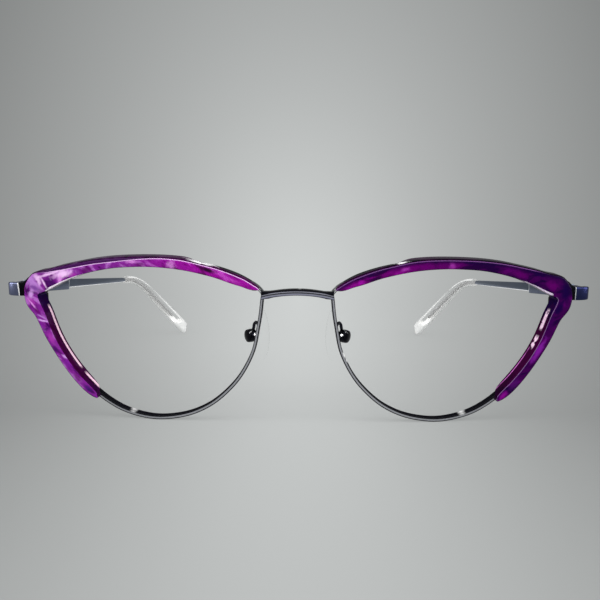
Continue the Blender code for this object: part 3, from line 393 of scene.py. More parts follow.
def bridgeLightAndShade(tree, point):
    here = placeGroup(tree, placeOnFront, Vector=point).outputs
    share = calculate(tree, "DIVIDE", here["Outward"], bridgeLook["reach"])
    square = calculate(tree, "MULTIPLY", share, share)
    above = calculate(tree, "MULTIPLY_ADD", square, bridgeLook["arch"], here["Level"])
    middle = bridgeLook["level"] + bridgeLook["arch"]
    band = mapRange(tree, above, middle - bridgeLook["half"], middle + bridgeLook["half"])
    stops = [(position, scaled(colour)) for position, colour in bridgeLook["bands"]]
    colour = colourRamp(tree, band, stops)
    return paintStreaks(tree, point, colour, [(scaled((1.0, 1.0, 1.0)), *bridgeLook["glint"])])


bridgeMetal = metalMaterial("bridgeMetal", gunmetalLook, under=bridgeLightAndShade)


acetateTones = {
    "palePink": (0.92, 0.58, 0.95), "paleLavender": (0.68, 0.36, 0.82), "lavender": (0.46, 0.2, 0.6),
    "pink": (0.72, 0.27, 0.75), "orchid": (0.36, 0.035, 0.38), "magenta": (0.33, 0.004, 0.34),
    "grape": (0.2, 0.012, 0.3), "violet": (0.17, 0.04, 0.28), "plum": (0.11, 0.0, 0.12),
    "darkMagenta": (0.1, 0.0, 0.11), "darkPurple": (0.06, 0.004, 0.11), "deepViolet": (0.035, 0.0, 0.07),
    "indigo": (0.045, 0.006, 0.13), "navy": (0.007, 0.0, 0.042), "maroon": (0.04, 0.0, 0.03),
    "black": (0.012, 0.0, 0.012), "white": (0.95, 0.93, 0.95),
}
# what both trims share; a wall is the face's marbling in the shade
acetateLook = {
    "swirl": 0.8, "grainScale": 2600.0, "roughness": 0.16, "roughnessChange": 0.1,
    "wallBrightness": 0.13, "wallSheen": {"coat": 0.0, "specular": 0.02}, "edgePaleness": 0.4,
    "glintPaleness": 0.93, "waver": (0.25, 0.75), "streakSizes": (0.55, 1.45),
}
# the brow's upper edge: a dark band of painted shade that widens towards the corner, and a fine painted
# highlight line under it
bandLook = {"browLevel": (0.0295, 0.0305), "start": 0.03, "full": 0.045, "cornerFade": (0.0628, 0.053),
            "soft": 0.00004, "lineSoft": 0.00005, "lineFade": 0.004, "wedgeSoft": 0.00003,
            "wedgeFade": 0.0006}
# picture-left trim: lavender and pink at the outer corner, magenta towards the nose
# streaks: tone, across, level, turn, length, width, strength
rightAcetateLook = {
    **acetateLook,
    "nose": {"deep": (0.11, 0.0, 0.1), "middle": (0.3, 0.001, 0.29), "bright": (0.46, 0.05, 0.46)},
    "corner": {"deep": (0.055, 0.0, 0.09), "middle": (0.2, 0.014, 0.26), "bright": (0.42, 0.13, 0.52)},
    "cornerReach": (0.018, 0.045), "pale": (1.0, 0.82, 1.0), "streakTurn": 0.6,
    "streakStretch": (2.4, 1.0, 0.8), "cloudScale": 380.0, "waverScale": 700.0,
    "faceSheen": {"coat": 0.1, "specular": 0.12},
    "streaks": [
        ("lavender", -0.0617, 0.0322, 55, 0.0028, 0.0016, 0.9),
        ("palePink", -0.0572, 0.0345, -17, 0.003, 0.00032, 0.8),
        ("palePink", -0.0603, 0.0331, 66, 0.0014, 0.0006, 0.75),
        ("palePink", -0.0589, 0.0324, 62, 0.0016, 0.0003, 0.8),
        ("violet", -0.0614, 0.0311, 20, 0.0013, 0.0006, 0.85),
        ("paleLavender", -0.0623, 0.0293, 105, 0.0016, 0.0007, 0.75),
        ("orchid", -0.0622, 0.0279, 40, 0.0014, 0.0008, 0.85),
        ("pink", -0.0621, 0.0272, 52, 0.0017, 0.00024, 0.85),
        ("darkPurple", -0.057, 0.0324, 35, 0.0016, 0.00092, 0.9),
        ("palePink", -0.0541, 0.0345, -15, 0.0023, 0.00085, 0.95),
        ("pink", -0.0549, 0.0331, 105, 0.0012, 0.0005, 0.85),
        ("magenta", -0.0514, 0.0344, -15, 0.001, 0.00055, 0.7),
        ("darkMagenta", -0.0483, 0.0356, -10, 0.0016, 0.00073, 0.85),
        ("pink", -0.0375, 0.0377, 0, 0.0013, 0.00039, 0.7),
        ("darkMagenta", -0.0355, 0.0372, 0, 0.001, 0.0005, 0.7),
        ("pink", -0.0285, 0.0371, 60, 0.0014, 0.001, 0.6),
        ("black", -0.02, 0.0361, 17, 0.0018, 0.00055, 0.97),
        ("darkMagenta", -0.061, 0.0256, 45, 0.001, 0.00046, 0.8),
        ("lavender", -0.06, 0.0243, 25, 0.0013, 0.00021, 0.8),
        ("paleLavender", -0.0596, 0.0233, 11, 0.0014, 0.00025, 0.9),
        ("grape", -0.0601, 0.0221, 60, 0.0008, 0.00057, 0.7),
        ("darkPurple", -0.059, 0.0213, -20, 0.0008, 0.00041, 0.8),
        ("orchid", -0.0579, 0.0192, 62, 0.0014, 0.00078, 0.9),
        ("darkPurple", -0.0569, 0.0165, 25, 0.0011, 0.00064, 0.9),
        ("paleLavender", -0.0547, 0.0148, 35, 0.0007, 0.00034, 0.75),
        ("grape", -0.054, 0.0131, 52, 0.0016, 0.00069, 0.8),
        ("darkMagenta", -0.0519, 0.01, 50, 0.0013, 0.00069, 0.7),
        ("indigo", -0.0493, 0.0074, 45, 0.0013, 0.0006, 0.8),
    ],
    "wallStreaks": [("navy", -0.0585, 0.0285, 60, 0.004, 0.003, 0.9),
                    ("maroon", -0.0545, 0.0165, 60, 0.011, 0.004, 0.75),
                    # the last wall streak is a thin painted highlight
                    ("white", -0.0221, 0.03775, 14, 0.003, 0.00014, 1.0)],
    "band": {**bandLook, "width": 0.0007, "colour": (0.045, 0.004, 0.07), "lineWidth": 0.00014,
             "line": (0.8, 0.5, 0.85), "lineEnd": 0.0605, "shade": (0.2, 0.0, 0.2), "shadeReach": 0.0002,
             "wedge": (0.0485, 0.0575), "wedgeWidth": 0.00042, "wedgeColour": (0.97, 0.85, 0.97)},
}
# picture-right trim: deep violet, going to indigo at the outer corner
leftAcetateLook = {
    **acetateLook,
    "nose": {"deep": (0.03, 0.0, 0.045), "middle": (0.13, 0.0, 0.135), "bright": (0.25, 0.002, 0.25)},
    "corner": {"deep": (0.012, 0.0, 0.035), "middle": (0.04, 0.0, 0.062), "bright": (0.075, 0.0, 0.1)},
    "cornerReach": (0.02, 0.05), "pale": (0.34, 0.2, 0.42), "streakTurn": -0.3,
    "streakStretch": (2.6, 1.0, 0.9), "cloudScale": 340.0, "waverScale": 600.0,
    "faceSheen": {"coat": 0.0, "specular": 0.06},
    "streaks": [
        ("navy", 0.0451, 0.0379, 10, 0.0021, 0.0005, 0.8),
        ("navy", 0.0388, 0.0381, 5, 0.0016, 0.0005, 0.8),
        ("orchid", 0.0348, 0.0375, 90, 0.001, 0.0008, 0.7),
        ("orchid", 0.0241, 0.0366, -10, 0.0009, 0.00041, 0.8),
        ("navy", 0.0164, 0.0352, -20, 0.0009, 0.00037, 0.8),
        ("magenta", 0.0141, 0.0336, -20, 0.0009, 0.00055, 0.8),
        ("plum", 0.0509, 0.0352, 18, 0.0021, 0.00069, 0.7),
        ("navy", 0.0545, 0.0357, 20, 0.0025, 0.0006, 0.85),
        ("plum", 0.0589, 0.0323, 30, 0.0016, 0.00103, 0.8),
        ("navy", 0.0625, 0.0313, 100, 0.003, 0.0016, 0.95),
        ("navy", 0.0608, 0.0271, 115, 0.0021, 0.00103, 0.93),
        ("deepViolet", 0.0591, 0.0238, 117, 0.0016, 0.00082, 0.8),
        ("grape", 0.0566, 0.0173, 120, 0.0034, 0.00069, 0.85),
        ("darkPurple", 0.0511, 0.0092, 130, 0.0018, 0.0007, 0.7),
        ("magenta", 0.0485, 0.0064, 130, 0.0013, 0.0006, 0.55),
    ],
    "wallStreaks": [("navy", 0.0585, 0.028, 120, 0.004, 0.003, 0.95),
                    ("maroon", 0.0545, 0.0165, 120, 0.011, 0.004, 0.8),
                    # the last wall streak is a thin painted highlight
                    ("white", 0.0236, 0.03805, -11, 0.0013, 0.00014, 1.0)],
    "band": {**bandLook, "width": 0.0, "colour": (0.005, 0.0, 0.015), "lineWidth": 0.00018,
             "line": (0.16, 0.055, 0.21), "lineEnd": 0.0575, "shade": (0.008, 0.0, 0.03),
             "shadeReach": 0.0013, "wedge": (0.0508, 0.0588), "wedgeWidth": 0.0005,
             "wedgeColour": (0.72, 0.6, 0.76)},
}
acetateLooks = {"right": rightAcetateLook, "left": leftAcetateLook}
# painted highlights: pale light caught along the arms' walls on the lens side
glintLook = {"outward": 0.03, "fade": 0.001, "soft": 0.00012, "ragged": (0.25, 0.4), "raggedScale": 300.0,
             "colour": (0.95, 0.62, 0.78)}
wallGlints = {
    "right": [{**glintLook, "depth": (0.0022, 0.003), "level": (0.0112, 0.0268)},
              {**glintLook, "depth": (0.0021, 0.003), "level": (0.0065, 0.0108)}],
    "left": [{**glintLook, "depth": (0.0014, 0.0026), "level": (0.0212, 0.0268), "soft": 0.0002,
              "ragged": (0.34, 0.46), "raggedScale": 760.0, "colour": (0.95, 0.66, 0.86)},
             {**glintLook, "depth": (0.0014, 0.0028), "level": (0.0168, 0.0205),
              "ragged": (0.38, 0.48), "raggedScale": 980.0, "colour": (0.95, 0.66, 0.86)},
             {**glintLook, "depth": (0.0027, 0.003), "level": (0.0062, 0.0175), "soft": 0.0001,
              "ragged": (0.25, 0.5), "raggedScale": 500.0, "colour": (0.62, 0.16, 0.58)}],
}


def catchLight(tree, point, here, colour, glint):
    low, high = glint["depth"]
    bottom, top = glint["level"]
    soft, fade, out = glint["soft"], glint["fade"], glint["outward"]
    broken = noise(tree, point, Scale=glint["raggedScale"], Detail=2.0)
    mask = product(tree, [
        smoothStep(tree, here["Depth"], low - soft, low + soft),
        smoothStep(tree, here["Depth"], high + soft, high - soft),
        smoothStep(tree, here["Level"], bottom, bottom + fade),
        smoothStep(tree, here["Level"], top, top - fade),
        smoothStep(tree, here["Outward"], out - fade, out),
        smoothStep(tree, broken, *glint["ragged"]),
    ])
    return mix(tree, mask, colour, scaled(glint["colour"]))


def topBand(tree, colour, here, band):
    # painted light and shade: a dark band and fine highlight line along the brow's upper edge, and the pale
    # wedge of painted highlight along its lower edge
    out, soft, lineSoft = here["Outward"], band["soft"], band["lineSoft"]
    lineWidth, lineEnd = band["lineWidth"], band["lineEnd"]
    belowTop = readAttribute(tree, "belowTop")
    fromLens = readAttribute(tree, "fromLens")
    onBrow = smoothStep(tree, here["Level"], *band["browLevel"])
    widening = mapRange(tree, out, band["start"], band["full"], 0.0, band["width"], "SMOOTHSTEP")
    taper = smoothStep(tree, out, *band["cornerFade"])
    below = calculate(tree, "SUBTRACT", belowTop, product(tree, [widening, taper]))
    shade = product(tree, [onBrow, smoothStep(tree, belowTop, band["shadeReach"], 0.0)])
    colour = mix(tree, shade, colour, scaled(band["shade"]))
    dark = product(tree, [onBrow, smoothStep(tree, below, soft, -soft)])
    colour = mix(tree, dark, colour, scaled(band["colour"]))
    line = product(tree, [
        onBrow,
        smoothStep(tree, below, -soft, soft),
        smoothStep(tree, below, lineWidth + lineSoft, lineWidth - lineSoft),
        smoothStep(tree, out, lineEnd, lineEnd - band["lineFade"]),
    ])
    colour = mix(tree, line, colour, scaled(band["line"]))
    wedge = mapRange(tree, out, *band["wedge"], 0.0, band["wedgeWidth"])
    inside = calculate(tree, "SUBTRACT", wedge, fromLens)
    wedgeEnd = band["wedge"][1]
    pale = product(tree, [
        onBrow,
        smoothStep(tree, inside, -band["wedgeSoft"], band["wedgeSoft"]),
        smoothStep(tree, out, wedgeEnd + band["wedgeFade"], wedgeEnd),
    ])
    return mix(tree, pale, colour, scaled(band["wedgeColour"]))


def acetateMaterial(name, look, streaks=(), brightness=1.0, paleness=0.0, glints=(), band=None):
    material, shader, point = newMaterial(name)
    tree = material.node_tree
    here = placeGroup(tree, placeOnFront, Vector=point).outputs
    mapping = addNode(tree, "ShaderNodeMapping", vector_type="TEXTURE")
    setInputs(mapping, Vector=point, Rotation=(0.0, look["streakTurn"], 0.0), Scale=look["streakStretch"])
    marbling = placeGroup(tree, acetateMarbling, Vector=mapping.outputs["Vector"],
                          Cloud_Scale=look["cloudScale"], Swirl=look["swirl"])
    corner = smoothStep(tree, here["Outward"], *look["cornerReach"])
    for part in ("deep", "middle", "bright"):
        shade = mix(tree, corner, scaled(look["nose"][part], brightness),
                    scaled(look["corner"][part], brightness))
        fillInput(marbling, part.capitalize() + " Colour", shade)
    waver = noise(tree, point, Scale=look["waverScale"], Detail=3.0, Roughness=0.6, Distortion=0.8)
    ragged = mapRange(tree, waver, *look["waver"], *look["streakSizes"])
    tones = [(scaled(acetateTones[tone]), *shape) for tone, *shape in streaks]
    colour = paintStreaks(tree, point, marbling.outputs["Colour"], tones, ragged)
    if paleness > 0:
        colour = mix(tree, paleness, colour, scaled(look["pale"]))
    if band:
        colour = topBand(tree, colour, here, band)
    for glint in glints:
        colour = catchLight(tree, point, here, colour, glint)
    grain = placeGroup(tree, finishGrain, Vector=point, Grain_Scale=look["grainScale"],
                       Smooth_Roughness=look["roughness"],
                       Worn_Roughness=look["roughness"] + look["roughnessChange"])
    sheen = look["wallSheen"] if brightness < 1 else look["faceSheen"]
    setInputs(shader, Base_Color=colour, Roughness=grain.outputs["Roughness"], Coat_Weight=sheen["coat"],
              Coat_Roughness=0.04, IOR=1.49, Specular_IOR_Level=sheen["specular"])
    return material


# the edge and glint finishes are painted highlights: along the left arm's lens edge, and along the brow's
# lower edge near the corner
trimFinishes = {}
for side in sides:
    look = acetateLooks[side]
    paleLook = {**look, "pale": look["band"]["wedgeColour"]}
    trimFinishes[side] = [
        acetateMaterial(side + "AcetateWall", look, look["wallStreaks"], look["wallBrightness"],
                        glints=wallGlints[side]),
        acetateMaterial(side + "AcetateFace", look, look["streaks"], band=look["band"]),
        acetateMaterial(side + "AcetateEdge", look, paleness=look["edgePaleness"]),
        acetateMaterial(side + "AcetateGlint", paleLook, paleness=look["glintPaleness"]),
    ]
print("acetate made")


# clear plastic of the tips and clear silicone of the pads
tipPlasticLook = {"colour": (0.96, 0.96, 0.95), "roughness": 0.12, "roughnessChange": 0.05, "ior": 1.45,
                  "specular": 0.4, "grainScale": 900.0, "shadeChange": 0.02, "rim": (0.42, 0.52),
                  "frontFade": (0.0004, 0.0028), "endLevel": (0.0066, 0.0044), "lightPassed": 0.85}
padSiliconeLook = {"colour": (0.995, 0.995, 0.995), "roughness": 0.0, "roughnessChange": 0.02, "ior": 1.006,
                   "specular": 0.2, "grainScale": 900.0, "shadeChange": 0.02, "clearness": 1.0}


def tipMaterial(name, lowest, first):
    # clear in the middle, and pale along the rim and at the thick end as painted highlight, for the light on
    # the clear plastic's edges
    look = tipPlasticLook
    material, shader, point, _ = grainedMaterial(name, look)
    tree = material.node_tree
    parts = addNode(tree, "ShaderNodeSeparateXYZ")
    setInputs(parts, Vector=point)
    apart = calculate(tree, "ABSOLUTE", readAttribute(tree, "fromCore"))
    back = smoothStep(tree, parts.outputs["Y"], *[first + reach for reach in look["frontFade"]])
    rim = product(tree, [smoothStep(tree, apart, *look["rim"]), back])
    end = smoothStep(tree, parts.outputs["Z"], *[lowest + level for level in look["endLevel"]])
    rimAndEndHighlight = calculate(tree, "MAXIMUM", rim, end)
    outside = readAttribute(tree, "outside")
    shadowRay = addNode(tree, "ShaderNodeLightPath").outputs["Is Shadow Ray"]
    shaded = calculate(tree, "MULTIPLY_ADD", shadowRay, -look["lightPassed"], 1.0)
    setInputs(shader, Alpha=product(tree, [rimAndEndHighlight, outside, shaded]), IOR=look["ior"],
              Specular_IOR_Level=look["specular"])
    return material


def siliconeMaterial():
    look = padSiliconeLook
    material, shader, _, _ = grainedMaterial("padSilicone", look)
    setInputs(shader, Transmission_Weight=look["clearness"], IOR=look["ior"],
              Specular_IOR_Level=look["specular"])
    return material


padSilicone = siliconeMaterial()
print("clear plastics made")


# modelling helpers

def newObject(name, data):
    made = bpy.data.objects.new(name, data)
    bpy.context.scene.collection.objects.link(made)
    return made


def selectOnly(piece):
    bpy.ops.object.select_all(action="DESELECT")
    piece.select_set(True)
    bpy.context.view_layer.objects.active = piece


def editAll(piece):
    selectOnly(piece)
    bpy.ops.object.mode_set(mode="EDIT")
    bpy.ops.mesh.select_all(action="SELECT")


def applyModifier(piece, kind, label, **values):
    modifier = piece.modifiers.new(label, kind)
    for name, value in values.items():
        setattr(modifier, name, value)
    bpy.ops.object.modifier_apply(modifier=modifier.name)


# a finer copy of one of the frame's pieces: a piece's own shape says what differs from this
copyShape = {"weld": 0.000002, "quadAngle": 0.7, "edge": 0.0, "edgeAngle": 30, "smoothing": 0,
             "shadeAngle": 35}


def finerCopy(nodeName, pieceShape, materials, pieceName=None):
    # right_brow_trim becomes rightBrowTrim where no name is given
    first, *others = nodeName.split("_")
    pieceName = pieceName or first + "".join(word.capitalize() for word in others)
    shape = {**copyShape, **pieceShape}
    piece = newObject(pieceName, cadNodes[nodeName].data.copy())
    editAll(piece)
    bpy.ops.mesh.remove_doubles(threshold=shape["weld"])
    bpy.ops.mesh.tris_convert_to_quads(face_threshold=shape["quadAngle"], shape_threshold=shape["quadAngle"])
    bpy.ops.object.mode_set(mode="OBJECT")
    if shape["edge"] > 0:
        applyModifier(piece, "BEVEL", "edges", width=shape["edge"], segments=2, limit_method="ANGLE",
                      angle_limit=math.radians(shape["edgeAngle"]), use_clamp_overlap=True)
    if shape["smoothing"] > 0:
        applyModifier(piece, "SUBSURF", "smooth", levels=shape["smoothing"], render_levels=shape["smoothing"])
    bpy.ops.object.shade_smooth_by_angle(angle=math.radians(shape["shadeAngle"]))
    piece.data.materials.clear()
    for material in materials:
        piece.data.materials.append(material)
    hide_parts(nodeName)
    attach(piece, bodyOfNode[nodeName])
    return piece


def assignFaces(piece, slotNumber, chosen):
    selectOnly(piece)
    bpy.ops.object.mode_set(mode="EDIT")
    bpy.ops.mesh.select_all(action="DESELECT")
    bpy.ops.object.mode_set(mode="OBJECT")
    for face in piece.data.polygons:
        face.select = chosen(face)
    bpy.ops.object.mode_set(mode="EDIT")
    piece.active_material_index = slotNumber
    bpy.ops.object.material_slot_assign()
    bpy.ops.object.mode_set(mode="OBJECT")


def moveVertices(piece, chosen, step):
    selectOnly(piece)
    bpy.ops.object.mode_set(mode="EDIT")
    bpy.ops.mesh.select_mode(type="VERT")
    bpy.ops.mesh.select_all(action="DESELECT")
    bpy.ops.object.mode_set(mode="OBJECT")
    for vertex in piece.data.vertices:
        vertex.select = chosen(vertex)
    bpy.ops.object.mode_set(mode="EDIT")
    bpy.ops.transform.translate(value=step)
    bpy.ops.object.mode_set(mode="OBJECT")


def cutAcross(piece, place, normal):
    editAll(piece)
    bpy.ops.mesh.bisect(plane_co=place, plane_no=normal)
    bpy.ops.object.mode_set(mode="OBJECT")


# brow trims and eyewires

trimShape = {"edge": 0.00012, "edgeAngle": 50, "smoothing": 1, "shadeAngle": 40, "faceTurn": 14,
             "edgeTurn": 34, "wedgeTurn": 70, "backTurn": 150, "armTop": 0.0298, "glintLevel": 0.028,
             "glintDown": -0.15, "glintReach": {"right": (0.0505, 0.0585), "left": (0.0522, 0.0585)}}
wireShape = {"edge": 0.00022, "edgeAngle": 35, "smoothing": 1, "shadeAngle": 50, "faceTurn": 15,
             "shadeAbove": 0.0335}
eyeMiddle = (0.0348, 0.0, 0.0205)


def frontTurn(face):
    # the angle between a face and the wrapped, leaning front at its place
    slope = face.center.x / frontLook["wrapRadius"]
    flat = 1 / math.sqrt(1 + slope * slope)
    lean = frontLook["lean"]
    outwards = Vector((slope * flat, -flat * math.cos(lean), -flat * math.sin(lean)))
    return math.degrees(outwards.angle(face.normal, 0.0))


def awayFromLens(face, side):
    away = face.center - Vector(eyeMiddle) * Vector((outward[side], 1.0, 1.0))
    away.y = 0.0
    return away.dot(face.normal) > 0


def onGlint(face, side):
    start, stop = trimShape["glintReach"][side]
    return (start < abs(face.center.x) < stop and face.normal.z < trimShape["glintDown"]
            and trimShape["faceTurn"] < frontTurn(face) < trimShape["wedgeTurn"]
            and face.center.z > trimShape["glintLevel"])


def onArmEdge(face, side):
    return (trimShape["faceTurn"] < frontTurn(face) < trimShape["edgeTurn"]
            and face.center.z < trimShape["armTop"] and not awayFromLens(face, side))


def nearestDistance(tree, place):
    # to the line through the two nearest points of an edge
    first, second = [found[0] for found in tree.find_n(place, 2)]
    along = second - first
    share = (place - first).dot(along) / max(along.length_squared, 1e-18)
    share = min(max(share, 0.0), 1.0)
    return (place - first - along * share).length


def measureEdges(piece, side):
    # how far each point of the face lies from the outer edge and from the lens edge
    facesAt = [[] for vertex in piece.data.vertices]
    for face in piece.data.polygons:
        for number in face.vertices:
            facesAt[number].append(face)
    edges = {"belowTop": [], "fromLens": []}
    for vertex, faces in zip(piece.data.vertices, facesAt):
        turns = [frontTurn(face) for face in faces]
        if min(turns) < trimShape["edgeTurn"] <= max(turns):
            wall = faces[turns.index(max(turns))]
            edges["belowTop" if awayFromLens(wall, side) else "fromLens"].append(vertex.co.copy())
    for name, places in edges.items():
        tree = KDTree(len(places))
        for number, place in enumerate(places):
            tree.insert(place, number)
        tree.balance()
        values = piece.data.attributes.new(name, "FLOAT", "POINT")
        for vertex in piece.data.vertices:
            values.data[vertex.index].value = nearestDistance(tree, vertex.co)


for side in sides:
    trim = finerCopy(side + "_brow_trim", trimShape, trimFinishes[side])
    measureEdges(trim, side)
    assignFaces(trim, 1, lambda face: frontTurn(face) < trimShape["edgeTurn"]
                or frontTurn(face) > trimShape["backTurn"])
    # the left arm's lens edge takes the painted highlight, the right one's the shaded wall
    assignFaces(trim, 2 if side == "left" else 0, lambda face: onArmEdge(face, side))
    assignFaces(trim, 3, lambda face: onGlint(face, side))
for side in sides:
    eyewire = finerCopy(side + "_eyewire", wireShape, [paintedShadeMetal, gunmetal, wireReflection])
    # walls stay in painted shade, except outer walls below a level, which take the plain gunmetal; the flat
    # front takes the painted reflection
    assignFaces(eyewire, 1, lambda face: frontTurn(face) > wireShape["faceTurn"]
                and awayFromLens(face, side) and face.center.z < wireShape["shadeAbove"])
    measureEdges(eyewire, side)
    assignFaces(eyewire, 2, lambda face: frontTurn(face) < wireShape["faceTurn"])


# the bridge's ends are soldered over the front of each eyewire

bridgeShape = {"edge": 0.0002, "edgeAngle": 35, "smoothing": 1, "shadeAngle": 40, "endDepth": 0.0004,
               "endReach": 0.0012, "endForward": -0.0003}
bridge = finerCopy("bridge", bridgeShape, [bridgeMetal], "bridgeBar")
bridgeEnd = max(vertex.co.x for vertex in bridge.data.vertices)
for direction in (-1, 1):
    moveVertices(bridge, lambda vertex: vertex.co.x * direction > bridgeEnd - bridgeShape["endDepth"],
                 (direction * bridgeShape["endReach"], bridgeShape["endForward"], 0.0))
print("front made")


# closing blocks, knuckles and lugs; a lug's ridge is given out from the nose and leans by its slant

blockShape = {"edge": 0.00008, "endDepth": 0.0004, "drawnIn": 0.0009}
knuckleShape = {"edge": 0.0001}
lugShape = {"edge": 0.0003, "level": 0.0318, "slant": {"right": 0.06, "left": 0.0}, "ridgeFacing": -0.5,
            "ridge": {"right": (0.06659, 0.0669), "left": (0.06594, 0.06616)}}


def ridgeShare(place, side):
    # 0 at the ridge's inner side and 1 at its outer side
    inner, outer = lugShape["ridge"][side]
    slanted = abs(place.x) - lugShape["slant"][side] * (place.z - lugShape["level"])
    return (slanted - inner) / (outer - inner)


for side in sides:
    direction = outward[side]
    for half in ("upper", "lower"):
        # the closing blocks are in painted shade
        block = finerCopy(side + "_closing_block_" + half, blockShape, [paintedShadeMetal])
        inner = min(vertex.co.x * direction for vertex in block.data.vertices)
        moveVertices(block, lambda vertex: vertex.co.x * direction < inner + blockShape["endDepth"],
                     (direction * blockShape["drawnIn"], 0.0, 0.0))
    finerCopy(side + "_front_knuckle", knuckleShape, [gunmetal])
    # the lug's inner part is painted shade and its ridge a painted highlight
    lug = finerCopy(side + "_lug", lugShape, [lugMetal[side], paintedShadeMetal, ridgeHighlight[side]])
    for reach in lugShape["ridge"][side]:
        cutAcross(lug, (direction * reach, 0.0, lugShape["level"]),
                  (direction, 0.0, -lugShape["slant"][side]))
    assignFaces(lug, 1, lambda face: ridgeShare(face.center, side) < 0)
    assignFaces(lug, 2, lambda face: 0 < ridgeShare(face.center, side) < 1
                and face.normal.y < lugShape["ridgeFacing"])
print("end pieces made")


# temples: spring boxes, blades and tips

springBoxShape = {"edge": 0.0002, "rearHighlight": 0.0009}
bladeShape = {"edge": 0.00012, "edgeAngle": 35, "shadeAngle": 40, "lowerRim": 0.00032, "frontReach": 0.0002,
              "backReach": 0.063, "endDepth": 0.0012}
tipShape = {"shadeAngle": 50, "coreLead": 0.0012, "ringGap": 0.0008, "moreRings": 8, "leastHeight": 0.001,
            "halfThickness": 0.0011, "boreReach": 0.0009, "clearShift": 0.2}


def cutLowerHighlight(blade):
    # a narrow painted highlight along the blade's lower edge
    first = min(vertex.co.y for vertex in blade.data.vertices)
    ends = []
    for reach in (bladeShape["frontReach"], bladeShape["backReach"]):
        near = [vertex.co.z for vertex in blade.data.vertices
                if abs(vertex.co.y - first - reach) < bladeShape["endDepth"]]
        ends.append((first + reach, min(near) + bladeShape["lowerRim"]))
    (front, level), (back, backLevel) = ends
    rise = (backLevel - level) / (back - front)
    cutAcross(blade, (0.0, front, level), (0.0, -rise, 1.0))
    assignFaces(blade, 1, lambda face: face.center.z - level < rise * (face.center.y - front))


def coreMiddles(side, coreStart):
    # the middle of each ring of the core wire, with more points on its line past its end
    rings = []
    places = sorted((vertex.co.copy() for vertex in cadNodes[side + "_temple_blade"].data.vertices
                     if vertex.co.y > coreStart), key=lambda place: place.y)
    for place in places:
        if not rings or place.y - rings[-1][-1].y > tipShape["ringGap"]:
            rings.append([])
        rings[-1].append(place)
    middles = [Vector([(min(place[axis] for place in ring) + max(place[axis] for place in ring)) / 2
                       for axis in range(3)]) for ring in rings]
    for _ in range(tipShape["moreRings"]):
        middles.append(middles[-1] * 2 - middles[-2])
    return middles


def measureFromCore(tip, middles):
    # -1 to 1 over the tip's height at its front, and from corner to corner over its hooked part
    ahead = [(after - before).normalized() for before, after in zip(middles, middles[1:])]
    places = []
    for vertex in tip.data.vertices:
        number = min(range(len(ahead)), key=lambda count: (vertex.co - middles[count]).length)
        offset = vertex.co - middles[number]
        inward = ahead[number].cross(Vector((0.0, 0.0, 1.0))).normalized()
        if inward.x * middles[0].x > 0:
            inward.negate()
        upward = ahead[number].cross(inward).normalized()
        if upward.z < 0:
            upward.negate()
        places.append((number, offset.dot(upward), offset.dot(inward)))
    tallest = [max([abs(up) for number, up, inside in places if abs(number - count) < 2]
                   or [tipShape["leastHeight"]]) for count in range(len(ahead))]
    steepest = max(abs(step.z) for step in ahead)
    shares = []
    for number, up, inside in places:
        hooked = abs(ahead[number].z) / steepest
        level = up / tallest[number]
        corner = (level + inside / tipShape["halfThickness"]) / 2 - tipShape["clearShift"]
        shares.append(level + hooked * (corner - level))
    outside = [float(math.hypot(up, inside) > tipShape["boreReach"]) for number, up, inside in places]
    for name, values in (("fromCore", shares), ("outside", outside)):
        tip.data.attributes.new(name, "FLOAT", "POINT")
        tip.data.attributes[name].data.foreach_set("value", values)


for side in sides:
    springBox = finerCopy(side + "_spring_box", springBoxShape, [springBoxMetal, softHighlightEdge])
    # a painted highlight along the spring box's rear rim
    rear = max(vertex.co.y for vertex in springBox.data.vertices) - springBoxShape["rearHighlight"]
    cutAcross(springBox, (0.0, rear, 0.0), (0.0, 1.0, 0.0))
    assignFaces(springBox, 1, lambda face: face.center.y > rear)
    blade = finerCopy(side + "_temple_blade", bladeShape, [templeMetal, highlightEdge, coreMetal])
    cutLowerHighlight(blade)
    tipPlaces = [vertex.co for vertex in cadNodes[side + "_temple_tip"].data.vertices]
    tipStart = min(place.y for place in tipPlaces)
    lowest = min(place.z for place in tipPlaces)
    coreStart = tipStart - tipShape["coreLead"]
    assignFaces(blade, 2, lambda face: face.center.y > coreStart)
    tipPlastic = tipMaterial(side + "TipPlastic", lowest, tipStart)
    tip = finerCopy(side + "_temple_tip", tipShape, [tipPlastic])
    measureFromCore(tip, coreMiddles(side, coreStart))
print("temples made")


# nose pads: each arm's end is drawn out to its box, and the box is rounded

padArmShape = {"shadeAngle": 50, "endReach": 0.0003, "endExtended": 0.0006}
padBoxShape = {"edge": 0.0003, "edgeAngle": 50, "smoothing": 1, "shadeAngle": 70, "roundness": 0.5,
               "fullness": 1.12}
nosePadShape = {"smoothing": 1, "shadeAngle": 60}
for side in sides:
    arm = finerCopy(side + "_pad_arm", padArmShape, [gunmetal])
    box = finerCopy(side + "_pad_box", padBoxShape, [padBoxMetal])
    middle = sum((vertex.co for vertex in box.data.vertices), Vector()) / len(box.data.vertices)
    nearest = min((vertex.co - middle).length for vertex in arm.data.vertices)
    reach = nearest + padArmShape["endReach"]
    end = [vertex.co for vertex in arm.data.vertices if (vertex.co - middle).length < reach]
    toward = (middle - sum(end, Vector()) / len(end)).normalized()
    moveVertices(arm, lambda vertex: (vertex.co - middle).length < reach,
                 toward * padArmShape["endExtended"])
    editAll(box)
    bpy.ops.transform.tosphere(value=padBoxShape["roundness"])
    bpy.ops.transform.resize(value=(padBoxShape["fullness"],) * 3)
    bpy.ops.object.mode_set(mode="OBJECT")
    finerCopy(side + "_nose_pad", nosePadShape, [padSilicone])
print("nose pads made")


